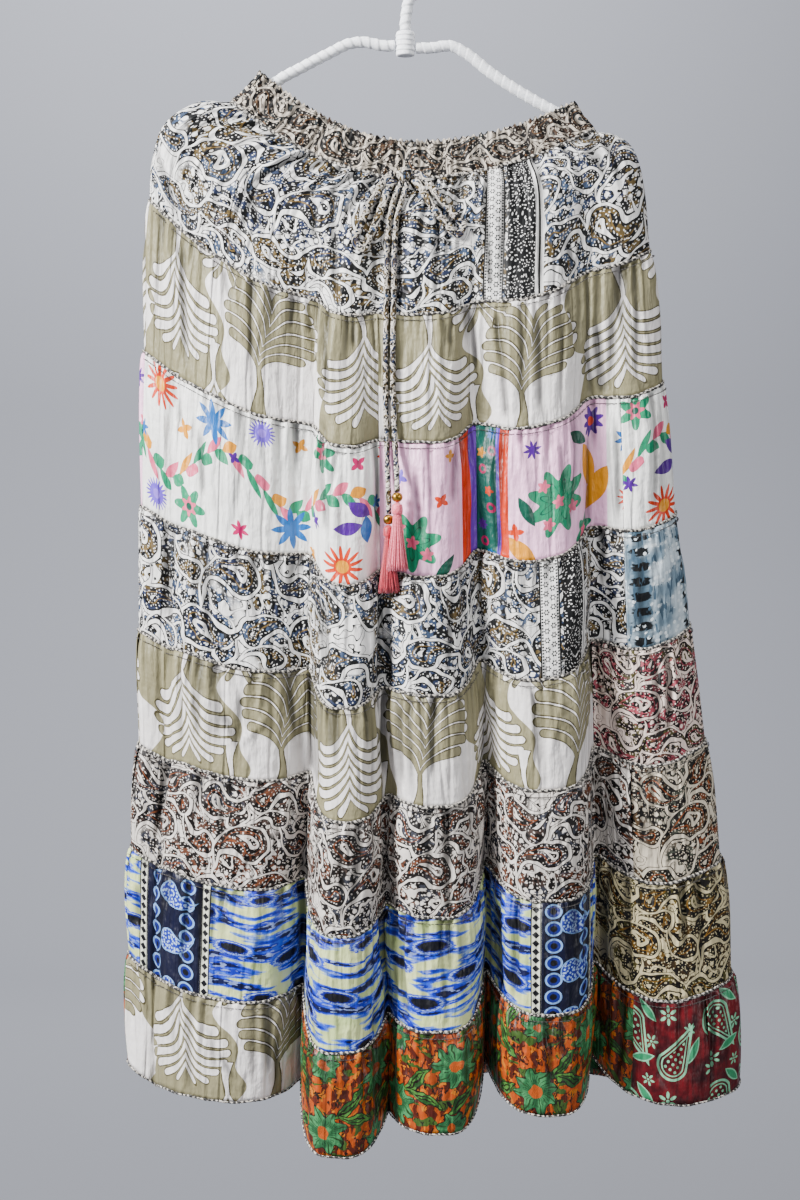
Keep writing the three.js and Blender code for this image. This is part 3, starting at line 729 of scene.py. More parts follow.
def stitch_line(name, ring):
    """A running thread below a seam: it lies on the cloth for a stitch, then dips under it."""
    line, out, phase = seam_line(ring, LEFT_SEAM, RIGHT_SEAM, STITCH_STEP, STITCH_DROP)
    along = lengths_along(line)
    puff = tier_puff(phase, ring, STITCH_DROP / TIER_HEIGHT)
    dip = np.clip(np.sin(2 * np.pi * along / STITCH_LENGTH) * 2 + 0.6, -1, 1)
    line = line + out * (puff + STITCH_LIFT + STITCH_LIFT * dip)[:, None]
    thread = swept(name, line, out, THREAD_RADIUS * 1.4, THREAD_RADIUS, sides=4)
    seam_pieces.append(on_the_part(thread))


SEWN_RINGS = [("seam_waist", 1)] + [(f"seam_{number}", number + 4) for number in range(1, 8)]
for seam, ring in [*SEWN_RINGS, ("hem", LAST_SEAM)]:
    size = HEM_EDGE_SIZE if seam == "hem" else 1.0
    seam_edge(f"{seam}_front_edge", ring, LEFT_SEAM, RIGHT_SEAM, FRONT_BRAID_STEP, size)
    seam_edge(f"{seam}_back_edge", ring, RIGHT_SEAM, BACK_END, BACK_BRAID_STEP, size)
    if seam not in ("seam_waist", "hem"):
        stitch_line(f"{seam}_front_stitches", ring)
print(len(seam_pieces), "seam edges and lines of stitches")

# %% [markdown]
# ## The hanger
# A wire hanger wound with white tape: each turn of tape laps over the one before it, which
# shows as a slanting step. The step is part of the swept radius, and beside it the tape's
# colour is darkened as painted shade.

# %% The taped wire and its neck
WIRE_RADIUS, WIRE_STEP, WIRE_SIDES, HOOK_RADIUS = 5.6, 0.0007, 20, 20
TAPE_PITCH, TAPE_STEP = 0.0085, 0.0010
LEFT_ARM = [
    (-9.3, -80.5), (-19, -80.5), (-42, -77), (-52, -78.5), (-70, -87), (-98, -101.5),
    (-118, -112.5), (-127, -120), (-131.5, -127.5),
]
RIGHT_ARM = [
    (9.3, -82.5), (23, -82.5), (44, -81), (56, -87), (79, -105), (107, -123.5),
    (132, -138), (146, -145.5), (155, -153.5),
]


def taped_wire(name, flat_points, node):
    """A wire in the hanger's plane whose radius falls in a slanting step at each lap of tape."""
    points = np.array([(x, 0, z) for x, z in flat_points]) / 1000
    route = even_route(points, WIRE_STEP)
    along = lengths_along(route)[:, None]
    turn = np.linspace(0, 1, WIRE_SIDES, endpoint=False)[None, :]
    lap = (along / TAPE_PITCH + turn) % 1
    step = np.minimum(lap / 0.14, 1) * (1 - 0.75 * lap)
    radius = WIRE_RADIUS / 1000 - TAPE_STEP + TAPE_STEP * step
    wire = swept(name, route, (0, -1, 0), radius, radius, WIRE_SIDES, rounded=0.0015)
    # Painted shade: how near each point lies to a lap's step is stored, and it darkens the tape's
    # colour there.
    add_pleats(wire, 1 - np.minimum(lap, 1 - lap) / 0.13)
    print(name, round(float(along[-1, 0]), 3), "m")
    return on_the_part(wire, node)


hook_middle = WIRE_RADIUS - HOOK_RADIUS
hook_turns = np.radians(np.arange(-8, 205.1, 21.3))
hook_points = [(0, -66.7), (0, -59), (1, -50), (4.2, -37), (13, hook_middle - 15)] + [
    (HOOK_RADIUS * np.cos(turn), hook_middle + HOOK_RADIUS * np.sin(turn)) for turn in hook_turns
]
hanger_pieces = [
    taped_wire("hanger_hook_tape", hook_points, "hanger_hook"),
    taped_wire("hanger_arm_left_tape", LEFT_ARM, "hanger_arm_left"),
    taped_wire("hanger_arm_right_tape", RIGHT_ARM, "hanger_arm_right"),
]


TURNED_SIDES = 40


def turned(name, radius, height, place, node):
    """Turns a profile of radii and heights about an upright line, closed by flat caps."""
    angle = full_turn(TURNED_SIDES)
    radius, height = radius[:, None] / 1000, height[:, None] / 1000
    rings = np.stack([radius * np.cos(angle), radius * np.sin(angle), height + 0 * angle], axis=-1)
    made = new_piece(name, rings + np.array(place) / 1000, ring_faces(len(rings), TURNED_SIDES))
    made.data.flip_normals()
    return on_the_part(made, node)


NECK_FOOT, NECK_TOP, NECK_RADIUS, NECK_TURNS = -90, -67, 9.3, 5
neck_heights = np.linspace(NECK_FOOT, NECK_TOP, 60)
neck_share = (neck_heights - NECK_FOOT) / (NECK_TOP - NECK_FOOT)
neck_lap = (neck_share * NECK_TURNS) % 1
neck_radius = NECK_RADIUS * (1 - 0.12 * np.abs(2 * neck_share - 1) ** 6) - 0.8 * neck_lap
neck_radius[[0, -1]] = 6.2
neck = turned(
    "hanger_neck_tape", neck_radius, neck_heights, (0, 0, 0), "hanger_neck"
)
# Painted shade: the neck's tape darkens at each lap's step.
add_pleats(neck, np.repeat(1 - neck_lap / 0.25, TURNED_SIDES))
hanger_pieces.append(neck)
print(len(hanger_pieces), "pieces of the hanger")

# %% [markdown]
# ## The drawstring's knot and bow
# The cord is tied in a small bow: two flat loops and a knot with a turn of cord round it.

# %% The bow
LEFT_LOOP = [
    (-10.6, -24.8, -202.6), (-17, -26.2, -208), (-28, -33.4, -226), (-41, -41.5, -254),
    (-46, -43.7, -270), (-40, -44.4, -276.5), (-32, -42, -263), (-21.5, -36.2, -236),
    (-15, -29.2, -217), (-10.2, -26, -209.8),
]
RIGHT_LOOP = [
    (8.7, -24.8, -202.6), (15.5, -26.2, -207), (27, -32.6, -222), (44, -36.8, -243),
    (53, -37.6, -255), (48, -39.2, -262.5), (37, -40, -252), (22, -36.9, -232),
    (13.5, -29.6, -217), (8.4, -26, -209.8),
]
KNOT_MIDDLE, KNOT_HALF = (-1, -24.6, -205), (7.5, 4.5, 6.5)
KNOT_RINGS, KNOT_SIDES = 34, 44


def bow_loop(name, points, node):
    """A pressed loop of the cord, wider than thick, with a fold line along its middle."""
    route, along, turn = cord_route(points)
    crease = 1 - 0.28 * np.exp(-((np.abs(np.sin(turn)) - 1) ** 2) / 0.02)
    ripple = 1 + 0.08 * np.sin(along * 700 + turn) + 0.05 * np.sin(along * 1900)
    loop = swept(name, route, (0, -1, 0), 0.0034 * ripple, 0.0018 * crease, CORD_SIDES)
    return on_the_part(loop, node)


def bow_knot():
    """An oval whose radius rises and falls with slanting turns, as cord drawn tight does."""
    up = np.linspace(0.04, np.pi - 0.04, KNOT_RINGS)[:, None]
    round_way = full_turn(KNOT_SIDES)[None, :]
    turns = 1 + 0.10 * np.cos(3 * up + 2.0 * np.sin(round_way))
    turns = turns + 0.05 * np.cos(6 * round_way + 4 * up)
    x = KNOT_HALF[0] * np.sin(up) * np.cos(round_way) * turns
    y = KNOT_HALF[1] * np.sin(up) * np.sin(round_way) * turns
    z = -KNOT_HALF[2] * np.cos(up) * turns
    points = np.stack([x, y, z + 0 * x], axis=-1) + np.array(KNOT_MIDDLE)
    across, tall = np.meshgrid(round_way[0] * 0.006, up[:, 0] * 0.006)
    cloth_map = np.stack([across, tall], axis=-1)
    faces = ring_faces(KNOT_RINGS, KNOT_SIDES)
    knot = new_piece("drawstring_knot_cloth", points / 1000, faces, cloth_map)
    knot.data.flip_normals()
    return on_the_part(knot, "drawstring_knot")


bow = [
    bow_loop("bow_loop_left", LEFT_LOOP, "drawstring_loop_left"),
    bow_loop("bow_loop_right", RIGHT_LOOP, "drawstring_loop_right"),
    bow_knot(),
]
print(len(bow), "pieces of the bow")

# %% [markdown]
# ## Beads and tassels
# Each tail ends in a round gilt bead and a silky tassel. A tassel is a bound head with a
# skirt of threads. The threads are swept tubes too, in rings that splay towards their tips,
# each with its own bend and length, and all of one tassel's threads make one piece.

# %% A bead and a tassel under each tail
BEAD_RADIUS, BEAD_HEIGHT, BEAD_GAP = 5, 9, 0.3
HEAD_HEIGHT = 13
HEAD_RINGS, HEAD_SIDES = 26, 36
THREAD_COUNT, THREAD_LENGTH, THREAD_SIDES, THREAD_RINGS = 170, 50, 4, 14


def bead(name, tail_end, node):
    """A flattened ball with a small flat rim at its hole."""
    turn = np.linspace(-np.pi / 2, np.pi / 2, 30)
    radius = np.maximum(BEAD_RADIUS * np.cos(turn) ** 0.85, 1.1)
    height = BEAD_HEIGHT / 2 * np.sin(turn) - BEAD_GAP - BEAD_HEIGHT / 2
    return turned(name, radius, height, tail_end, node)


def tassel_threads(seed):
    """Gives the threads' rings of points, from the head down: an angle and a splay for each
    thread, with a slow bend, as one array of threads, rings, sides and places."""
    numbers = np.random.default_rng(seed)
    angle = numbers.uniform(0, 2 * np.pi, THREAD_COUNT)[:, None, None]
    out = np.sqrt(numbers.uniform(0.05, 1, THREAD_COUNT))[:, None, None]
    length = THREAD_LENGTH * numbers.uniform(0.93, 1.02, THREAD_COUNT)[:, None, None]
    sway = numbers.normal(0, 0.5, (2, THREAD_COUNT))[:, :, None, None]
    down = np.linspace(0, 1, THREAD_RINGS)[None, :, None]
    side = full_turn(THREAD_SIDES)[None, None, :]
    spread = out * (3.6 + 6.6 * down**1.2)
    middle_x = spread * np.cos(angle) + sway[0] * np.sin(3.4 * down) * down
    middle_y = spread * np.sin(angle) * (1 - 0.35 * down) + sway[1] * np.sin(4.1 * down) * down
    radius = 0.5 * (1 - 0.35 * down**4)
    x = middle_x + radius * np.cos(side)
    y = middle_y + radius * np.sin(side)
    z = 1.2 - length * down + 0 * x
    return np.stack([x, y, z], axis=-1)


def tassel(name, head_foot, node, seed):
    """A bound head, its tie, and the threads under it, joined in one mesh."""
    threads = tassel_threads(seed)
    corners = THREAD_RINGS * THREAD_SIDES
    one = np.array(ring_faces(THREAD_RINGS, THREAD_SIDES))
    faces = (one[None] + (np.arange(THREAD_COUNT) * corners)[:, None, None]).reshape(-1, 4)
    share = np.linspace(0, 1, HEAD_RINGS)
    bulge = np.sin(np.pi * np.clip(share / 0.92, 0, 1)) ** 0.5
    radius = 3.6 + 1.5 * bulge - 2.4 * np.clip((share - 0.8) / 0.2, 0, 1) ** 1.6
    radius -= 1.1 * np.exp(-(((share - 0.1) / 0.07) ** 2))
    turn = full_turn(HEAD_SIDES)
    ridged = radius[:, None] * (1 + 0.035 * np.cos(18 * turn + 5 * share[:, None]))
    height = share[:, None] * HEAD_HEIGHT + 0 * ridged
    head = np.stack([ridged * np.cos(turn), ridged * np.sin(turn), height], axis=-1)
    first = THREAD_COUNT * corners
    head_faces = ring_faces(HEAD_RINGS, HEAD_SIDES)
    head_faces = [[corner + first for corner in face[::-1]] for face in head_faces]
    points = np.concatenate([threads.reshape(-1, 3), head.reshape(-1, 3)]) + np.array(head_foot)
    made = new_piece(name, points / 1000, faces.tolist() + head_faces)
    print(name, len(made.data.polygons), "faces")
    return on_the_part(made, node)


trims = []
for which, tail, route, slot, seed in [
    ("first", tail_first, route_first, "coral_thread", 3),
    ("second", tail_second, route_second, "red_thread", 8),
]:
    end = route[-1] * 1000
    head_foot = end - np.array([0, 0, 2 * BEAD_GAP + BEAD_HEIGHT + HEAD_HEIGHT])
    ball = bead(f"bead_{which}_gilt", end, f"bead_{which}")
    brush = tassel(f"tassel_{which}_threads", head_foot, f"tassel_{which}", seed)
    on_the_part(tail, f"drawstring_tail_{which}")
    trims += [ball, brush]
print(len(trims), "beads and tassels")

# %% [markdown]
# ## Shader maths as sums
# A print is easiest to write as arithmetic on the cloth's map. This class wraps one output
# of the shader's node tree, and each operator on it adds one node, so that a line such as
# `1 - mask` builds a small tree. Colours and vectors use Mix and Vector Math nodes instead.

# %% A socket that can be added up
def operator(operation, reflected=False):
    """Makes a method that adds one Math node. A reflected one has the number first, as in
    1 - mask."""

    def method(self, *others):
        sides = (*others, self) if reflected else (self, *others)
        return self.node("ShaderNodeMath", {"operation": operation}, dict(enumerate(sides)))

    return method


class Dye:
    """One output of a material's node tree, used in sums as a number is."""

    __add__ = __radd__ = operator("ADD")
    __mul__ = __rmul__ = operator("MULTIPLY")
    __sub__, __rsub__ = operator("SUBTRACT"), operator("SUBTRACT", reflected=True)
    __truediv__, __mod__, __pow__ = map(operator, ("DIVIDE", "FLOORED_MODULO", "POWER"))
    __lt__, __gt__ = operator("LESS_THAN"), operator("GREATER_THAN")
    __abs__, floor, sine, cosine = map(operator, ("ABSOLUTE", "FLOOR", "SINE", "COSINE"))
    least, most = operator("MINIMUM"), operator("MAXIMUM")
    arctan2, ping_pong, wrap = map(operator, ("ARCTAN2", "PINGPONG", "WRAP"))

    def __init__(self, tree, socket):
        self.tree, self.socket = tree, socket

    def __neg__(self):
        return self * -1.0

    def node(self, kind, settings=None, sockets=None, out=0):
        """Adds a node: its settings first, then each socket's value or link."""
        made = self.tree.nodes.new(kind)
        for name, value in (settings or {}).items():
            setattr(made, name, value)
        for name, value in (sockets or {}).items():
            if isinstance(value, Dye):
                self.tree.links.new(value.socket, made.inputs[name])
            else:
                made.inputs[name].default_value = value
        return Dye(self.tree, made.outputs[out])

    def vector(self, operation, *others, out=0):
        """Adds one Vector Math node."""
        sockets = dict(enumerate((self, *others)))
        return self.node("ShaderNodeVectorMath", {"operation": operation}, sockets, out)

    def scaled(self, x, y):
        """Multiplies a map's two parts."""
        return self.vector("MULTIPLY", (x, y, 0))

    def length(self):
        """Gives how far a place lies from the map's zero."""
        return self.vector("LENGTH", out=1)

    def parts(self):
        """Splits a vector into its across and down parts."""
        split = self.node("ShaderNodeSeparateXYZ", {}, {0: self})
        return split, Dye(self.tree, split.socket.node.outputs[1])

    def joined(self, other):
        """Makes a map with this value across and the other down."""
        return self.node("ShaderNodeCombineXYZ", {}, {0: self, 1: other})

    def noise(self, scale, detail=2.0, out=0):
        """Gives a cloudy noise from 0 to 1, or with out=1 its colour."""
        sockets = {"Vector": self, "Scale": scale, "Detail": detail}
        return self.node("ShaderNodeTexNoise", {"noise_dimensions": "2D"}, sockets, out)

    def cells(self, scale):
        """Gives the distance to the nearest of many scattered points."""
        sockets = {"Vector": self, "Scale": scale}
        return self.node("ShaderNodeTexVoronoi", {"voronoi_dimensions": "2D"}, sockets)

    def warped(self, scale, detail, reach):
        """Moves a map about by a noise, so that straight outlines become drawn by hand."""
        colours = self.noise(scale, detail, out=1)
        moves = colours.vector("SUBTRACT", (0.5, 0.5, 0.5)).scaled(reach, reach)
        return self.vector("ADD", moves)

    def between(self, low, high):
        """Rises smoothly from 0 at low to 1 at high."""
        settings = {"interpolation_type": "SMOOTHSTEP"}
        return self.node("ShaderNodeMapRange", settings, {0: self, 1: low, 2: high, 3: 0.0, 4: 1.0})

    def blended(self, first, second):
        """Mixes two colours by this value: the first at 0 and the second at 1."""
        settings = {"data_type": "RGBA"}
        return self.node("ShaderNodeMix", settings, {0: self, 6: first, 7: second}, out=2)

    def shaded(self, colour):
        """Multiplies a colour by this value."""
        grey = self.joined(self)
        self.tree.links.new(self.socket, grey.socket.node.inputs[2])
        settings = {"data_type": "RGBA", "blend_type": "MULTIPLY"}
        return self.node("ShaderNodeMix", settings, {0: 1.0, 6: colour, 7: grey}, out=2)


def ink(code):
    """Turns a screen colour of six digits into the linear colour that Blender mixes."""
    shares = [int(code[at : at + 2], 16) / 255 for at in (0, 2, 4)]
    return (*[s / 12.92 if s <= 0.04045 else ((s + 0.055) / 1.055) ** 2.4 for s in shares], 1.0)


def new_material(name, roughness, **constants):
    """Makes a material with one plain shader, its constant sockets set by name."""
    material = bpy.data.materials.new(name)
    material.use_nodes = True
    shader = material.node_tree.nodes["Principled BSDF"]
    shader.inputs["Roughness"].default_value = roughness
    for socket, value in constants.items():
        shader.inputs[socket.replace("_", " ")].default_value = value
    return material, shader


def map_of_cloth(material):
    """Starts sums on the map in metres of cloth."""
    fresh = material.node_tree.nodes.new("ShaderNodeUVMap")
    fresh.uv_map = "cloth"
    return Dye(material.node_tree, fresh.outputs[0])


def pleat_depth(fresh):
    """Reads the stored depth in a crease, from 0 to 1."""
    return fresh.node("ShaderNodeAttribute", {"attribute_name": "pleat"}, {}, out=2)


def finish(shader, colour, height, strength, depth, roughness=None):
    """Links a colour, a bump and, where it is given, a changing roughness to the shader."""
    sockets = {"Strength": strength, "Distance": depth, "Height": height}
    bump = height.node("ShaderNodeBump", {}, sockets)
    for value, socket in [(colour, "Base Color"), (bump, "Normal"), (roughness, "Roughness")]:
        if value is not None:
            colour.tree.links.new(value.socket, shader.inputs[socket])


print("shader sums are ready")

# %% [markdown]
# ## Shapes for the prints
# A motif is a value that is negative inside its outline. Each one works in its own small
# map: the cloth's map moved to the motif's place, wrapped so that the motif comes back at
# each repeat of the print, and turned. The smallest of several values joins their motifs.

# %% Motifs
def local_map(cloth, place, repeat=None, turn=0.0, curl=None):
    """Moves the map to a place in millimetres, wraps it on the repeat, and turns it. With a
    curl, the turn grows with the distance, so that straight forms become hooked ones."""
    moved = cloth.vector("SUBTRACT", (place[0] / 1000, place[1] / 1000, 0))
    if repeat:
        half = (repeat[0] / 2000, repeat[1] / 2000, 1)
        moved = moved.vector("WRAP", half, tuple(-side for side in half))
    if turn or curl:
        angle = moved.length() * curl + turn if curl else turn
        sockets = {"Vector": moved, "Angle": angle}
        moved = moved.node("ShaderNodeVectorRotate", {"rotation_type": "Z_AXIS"}, sockets)
    return moved


def places_in(cloth, repeat):
    """Gives a function from a place and a turn to the map of a motif there."""
    return lambda x, y, turn=0.0: local_map(cloth, (x, y), repeat, turn)


def drop(spot, radius, tail):
    """A round head whose sides run straight to a point: the base of a paisley."""
    x, y = spot.parts()
    head = x.joined(y.least(0.0)).length()
    return head + y.most(0.0) * (radius / tail) - radius / 1000


def leaf(spot, half_length, half_width):
    """A pointed leaf: its half width falls with the square of the place along it."""
    x, y = spot.parts()
    along = y * (1000 / half_length)
    return abs(x) + along * along * (half_width / 1000) - half_width / 1000


def petals(spot, radius, count, depth, turn=0.0):
    """A flower's outline: a circle whose radius swings once for each petal."""
    x, y = spot.parts()
    swing = (y.arctan2(x) * count + turn).cosine() * (depth * radius / 1000)
    return spot.length() - swing - radius * (1 - depth) / 1000


def rays(spot, radius, count, depth):
    """A star's outline: its radius falls in a straight line from each point to each notch."""
    x, y = spot.parts()
    share = (y.arctan2(x) * (count / 2 / np.pi)).ping_pong(0.5)
    return spot.length() + share * (2 * depth * radius / 1000) - radius / 1000


def band_of(x, start, width):
    """Is 1 in an upright band of the map, in millimetres, and 0 beside it."""
    return (x > start / 1000) * (x < (start + width) / 1000)


print("motifs are ready")

# %% [markdown]
# ## Paisley prints
# The skirt has six paisleys, and the drawstring a seventh, alike in build and different in
# colour and scale: hooked drops with a pale rim and thin lines round their dotted filling,
# pale ribbons that wander between them, and a crowded dotted ground. The ribbons are the
# lines where a slow noise passes through its middle value, which gives endless curves that
# never cross.

# %% Paisley
DROPS = """
drop x y radius tail turn curl
a 24 26 14 46 0.5 30
b 76 18 11 40 2.7 -34
c 66 66 15 46 4.0 27
d 16 74 9 30 5.3 -42
e 46 46 6 22 1.3 50
f 96 44 7 26 3.3 44
"""
PAISLEY_REPEAT = (104, 96)
GRAIN_SCALE = 340.0
INKS = """
cloth ground dark tint tint tint line
yoke  EDEBE8 050608 3A4A64 1E2844 5A4A28 6E5830
cord  CCC4B8 050608 3A4A64 1E2844 5A4A28 6E5830
band  CCC0B0 060403 2A2420 3E2C1E 22282A 6A4C30
pink  E6D2C6 120808 9A4450 7A303C 46421E 9A3C4A
brown DAD2CA 0C0605 3A2C26 5A3422 32343E 7A4020
tan   D6CAB4 0C0604 54402A 743614 40443A 8A4418
ochre CABD94 0A0602 5A400C 34240A 464018 7A5410
"""
drops = table_columns(DROPS)
inks_of = {
    name: [ink(code) for code in codes]
    for name, *codes in map(str.split, INKS.strip().splitlines()[1:])
}


def flower_border(colour, cloth, start, ground, dark, dense):
    """Paints an upright pale border with two staggered columns of small flowers between
    dotted edges, a dense stripe beside it and a narrow pale line after that."""
    x, _ = cloth.parts()
    colour = band_of(x, start - 1.4, 18.8).blended(colour, dark)
    colour = band_of(x, start, 16).blended(colour, ground)
    for across, down in [(4.9, 0), (11.1, 4.2)]:
        spot = local_map(cloth, (start + across, down), (900, 8.4))
        colour = (petals(spot, 3.0, 6, 0.2) < 0).blended(colour, dark)
        colour = (spot.length() < 0.0012).blended(colour, ground)
    for across in (1.0, 15.0):
        spot = local_map(cloth, (start + across, 0), (900, 2.8))
        colour = (spot.length() < 0.0009).blended(colour, dark)
    colour = band_of(x, start + 20, 26).blended(colour, dense)
    colour = band_of(x, start + 46, 8).blended(colour, ground)
    return band_of(x, start + 49, 2).blended(colour, dark)


def paisley(kind, size, crowd=0.31, border=None):
    """Gives a function that draws one kind of the print on a cloth map at a given size. The
    ground is crowded with dots where a broad noise is above crowd."""
    ground, dark, *tints, line = inks_of[kind]

    def draw(cloth):
        flat, cloth = cloth, cloth.scaled(1 / size, 1 / size)
        wavy = cloth.warped(38.0, 1.0, 0.014)
        shape = None
        for x, y, radius, tail, turn, curl in zip(*drops.values()):
            one = drop(local_map(wavy, (x, y), PAISLEY_REPEAT, turn, curl), radius, tail)
            shape = one if shape is None else shape.least(one)
        grain = wavy.cells(GRAIN_SCALE * size)
        slow = cloth.noise(29.0, 2.0)
        broad = cloth.noise(17.0, 1.0, out=1).parts()
        tint = broad[0].between(0.46, 0.54).blended(tints[0], tints[1])
        tint = broad[1].between(0.53, 0.58).blended(tint, tints[2])
        fleck = (cloth.noise(130.0, 1.0) > 0.53).blended(dark, tint)
        filled = grain.between(0.17, 0.26).blended(ground, fleck)
        ribbon = abs(slow - 0.5)
        sprigs = cloth.cells(105.0).between(0.20, 0.26)
        colour = (broad[0].between(crowd - 0.03, crowd + 0.03) * sprigs).blended(ground, filled)
        colour = (ribbon < 0.034).blended(colour, dark)
        colour = (ribbon < 0.025).blended(colour, ground)
        for level, shade in [
            (0.0050, dark), (0.0041, ground), (0.0010, dark), (-0.0001, filled), (-0.0048, line),
            (-0.0058, filled), (-0.0085, dark), (-0.0093, ground), (-0.0122, filled),
        ]:
            colour = (shape < level).blended(colour, shade)
        if border:
            dense = grain.between(0.16, 0.24).blended(ground, dark)
            colour = flower_border(colour, flat, border, ground, dark, dense)
        return colour

    return draw


print(len(inks_of), "paisleys share", len(drops["x"]), "drops")

# %% [markdown]
# ## Fern print
# Pale and khaki cloth takes turns: on one stretch the ferns are pale on khaki, on the next
# khaki on pale. A fern is a trunk with pairs of rounded leaflets. Bending the height by the
# distance from the trunk turns level stripes into arching leaflets, and each stripe ends
# in a half circle where its own length runs out.

# %% Ferns
FERN_REPEAT = (200, 150)
LEAFLET_PITCH, LEAFLET_RADIUS = 0.0103, 0.0041
STRETCH_START, PALE_STRETCH, BOTH_STRETCHES = 0.098, 0.1, 0.2


def fern(cloth, place, turn, reach, leaflets, trunk):
    """One fern about its middle: arching leaflets that get shorter to its tip and to its
    foot, and the trunk under them. The value is negative inside the outline."""
    x, y = local_map(cloth, place, FERN_REPEAT, turn).parts()
    y = y + 0.024
    aside = abs(x)
    height = y - aside * 2.6 / (aside * 60.0 + 1.0) + aside * aside * 4.5
    level = height / LEAFLET_PITCH
    number = level.floor()
    centre = abs(level - number - 0.5) * LEAFLET_PITCH
    share = (number + 0.5) / leaflets
    span = (1 - share * share) * (share.most(0.0) + 0.12) ** 0.4 * (reach / 1000)
    past_end = (aside - span).most(0.0)
    fuller = aside * (0.0009 / reach * 1000) - 0.0004
    leaflet = centre.joined(past_end).length() - LEAFLET_RADIUS - fuller
    leaflet = leaflet.most(-height).most((share - 1) * 0.02)
    lower = 0.006 - y
    stalk = aside - 0.0022 - lower * lower * 3.2
    stalk = stalk.most(-lower).most(-trunk / 1000 - y)
    return leaflet.least(stalk)


def ferns(cloth):
    """Draws the ferns in one ink on the other with a dark khaki outline, and swaps the inks
    from stretch to stretch."""
    wavy = cloth.warped(16.0, 1.0, 0.016)
    plants = fern(wavy, (52, 56), 0.1, 64, 7, 48)
    plants = plants.least(fern(wavy, (150, 76), np.pi - 0.12, 66, 7, 48))
    plants = plants.least(fern(wavy, (102, 140), 0.05, 44, 5, 30))
    x, y = wavy.parts()
    swerve = (y * 46.0).sine() * 0.013 + (y * 118.0 + x * 31.0).sine() * 0.005
    stretch = ((x + swerve + STRETCH_START) % BOTH_STRETCHES) > PALE_STRETCH
    swapped = abs((plants < 0.0) - stretch)
    colour = swapped.blended(ink("E6E1DE"), ink("878163"))
    rough = cloth.noise(150.0, 2.0) * 0.0011
    return (abs(plants) < rough).blended(colour, ink("4A442C"))


print("fern repeat:", FERN_REPEAT, "mm")

# %% [markdown]
# ## Bright garden prints
# The third tier carries bright motifs on white and on pink: flowers, stars, leaves and a
# leafy garland, with a striped border between two stretches of pink. They are plain garden
# motifs of this lesson's own, each placed in a repeat and filled with flat inks.

# %% Motifs on white and on pink
EMERALD, PINK, OCHRE = ink("08885E"), ink("E05E80"), ink("DE9008")
SKY, FLAME, PLUM = ink("0E62AE"), ink("D03404"), ink("4C0C84")
LILAC, MAGENTA, FOREST = ink("6846CC"), ink("B40658"), ink("034E3C")
WHITE_GROUND, PINK_GROUND = ink("F6F5F1"), ink("FCC2E4")
WHITE_REPEAT = (262, 150)


def flower(colour, spot, radius, count, depth, shade, heart):
    """Paints a flower with a heart."""
    colour = (petals(spot, radius, count, depth) < 0).blended(colour, shade)
    return (spot.length() < radius * 0.00030).blended(colour, heart)


def garland(colour, cloth, height, swing, wave_length, pitch, leaf_inks):
    """Paints a wavy stem with leaves close together on both its sides."""
    x, y = cloth.parts()
    wave = (x * (2000 * np.pi / wave_length)).sine() * (swing / 1000)
    aside = y - height / 1000 - wave
    colour = (abs(aside) < 0.0010).blended(colour, FOREST)
    step = pitch * len(leaf_inks) / 1000
    for order, shade in enumerate(leaf_inks):
        side = 1 if order % 2 else -1
        across = (x + order * pitch / 1000) % step - step / 2
        spot = local_map(across.joined(aside), (0, side * 5.0), None, side * 0.85)
        colour = (leaf(spot, 9.5, 4.8) < 0).blended(colour, shade)
    return colour


def garden_white(cloth):
    """Flowers, stars and a garland on off-white."""
    at = places_in(cloth, WHITE_REPEAT)
    colour = (cloth.noise(8.0) * 0.5).blended(WHITE_GROUND, ink("ECECE8"))
    leaf_inks = (EMERALD, PINK, OCHRE, EMERALD, PINK, EMERALD)
    colour = garland(colour, cloth, 68, 21, 131, 7.8, leaf_inks)
    for x, y, turn in [(24, 19, 0.3), (228, 112, 1.2)]:
        colour = flower(colour, at(x, y, turn), 19, 13, 0.3, FLAME, OCHRE)
    for x, y, turn in [(60, 108, 0.0), (204, 18, 0.5)]:
        colour = flower(colour, at(x, y, turn), 18, 6, 0.24, EMERALD, PINK)
        colour = (petals(at(x, y, turn + 0.5), 9, 6, 0.25) < 0).blended(colour, PINK)
        colour = (at(x, y).length() < 0.0032).blended(colour, FOREST)
    for x, y, turn in [(84, 26, 0.2), (160, 104, 0.9)]:
        colour = (rays(at(x, y, turn), 20, 8, 0.62) < 0).blended(colour, SKY)
    for x, y in [(132, 20), (20, 110)]:
        colour = flower(colour, at(x, y, 0.3), 13, 20, 0.2, LILAC, ink("8A68DC"))
    for x, y, reach, points, shade in [
        (52, 44, 9, 4, OCHRE), (112, 112, 9, 6, MAGENTA), (168, 26, 8, 4, OCHRE),
        (196, 84, 8, 6, PLUM), (242, 20, 8, 4, MAGENTA), (106, 50, 6, 4, PLUM),
        (184, 124, 7, 4, OCHRE), (2, 62, 8, 6, SKY),
    ]:
        colour = (rays(at(x, y, x * 0.1), reach, points, 0.62) < 0).blended(colour, shade)
    for x, y, turn, shade in [(243, 62, 0.9, PLUM), (250, 82, 0.1, SKY), (233, 78, 1.7, PLUM)]:
        colour = (leaf(at(x, y, turn), 13, 6) < 0).blended(colour, shade)
    return colour


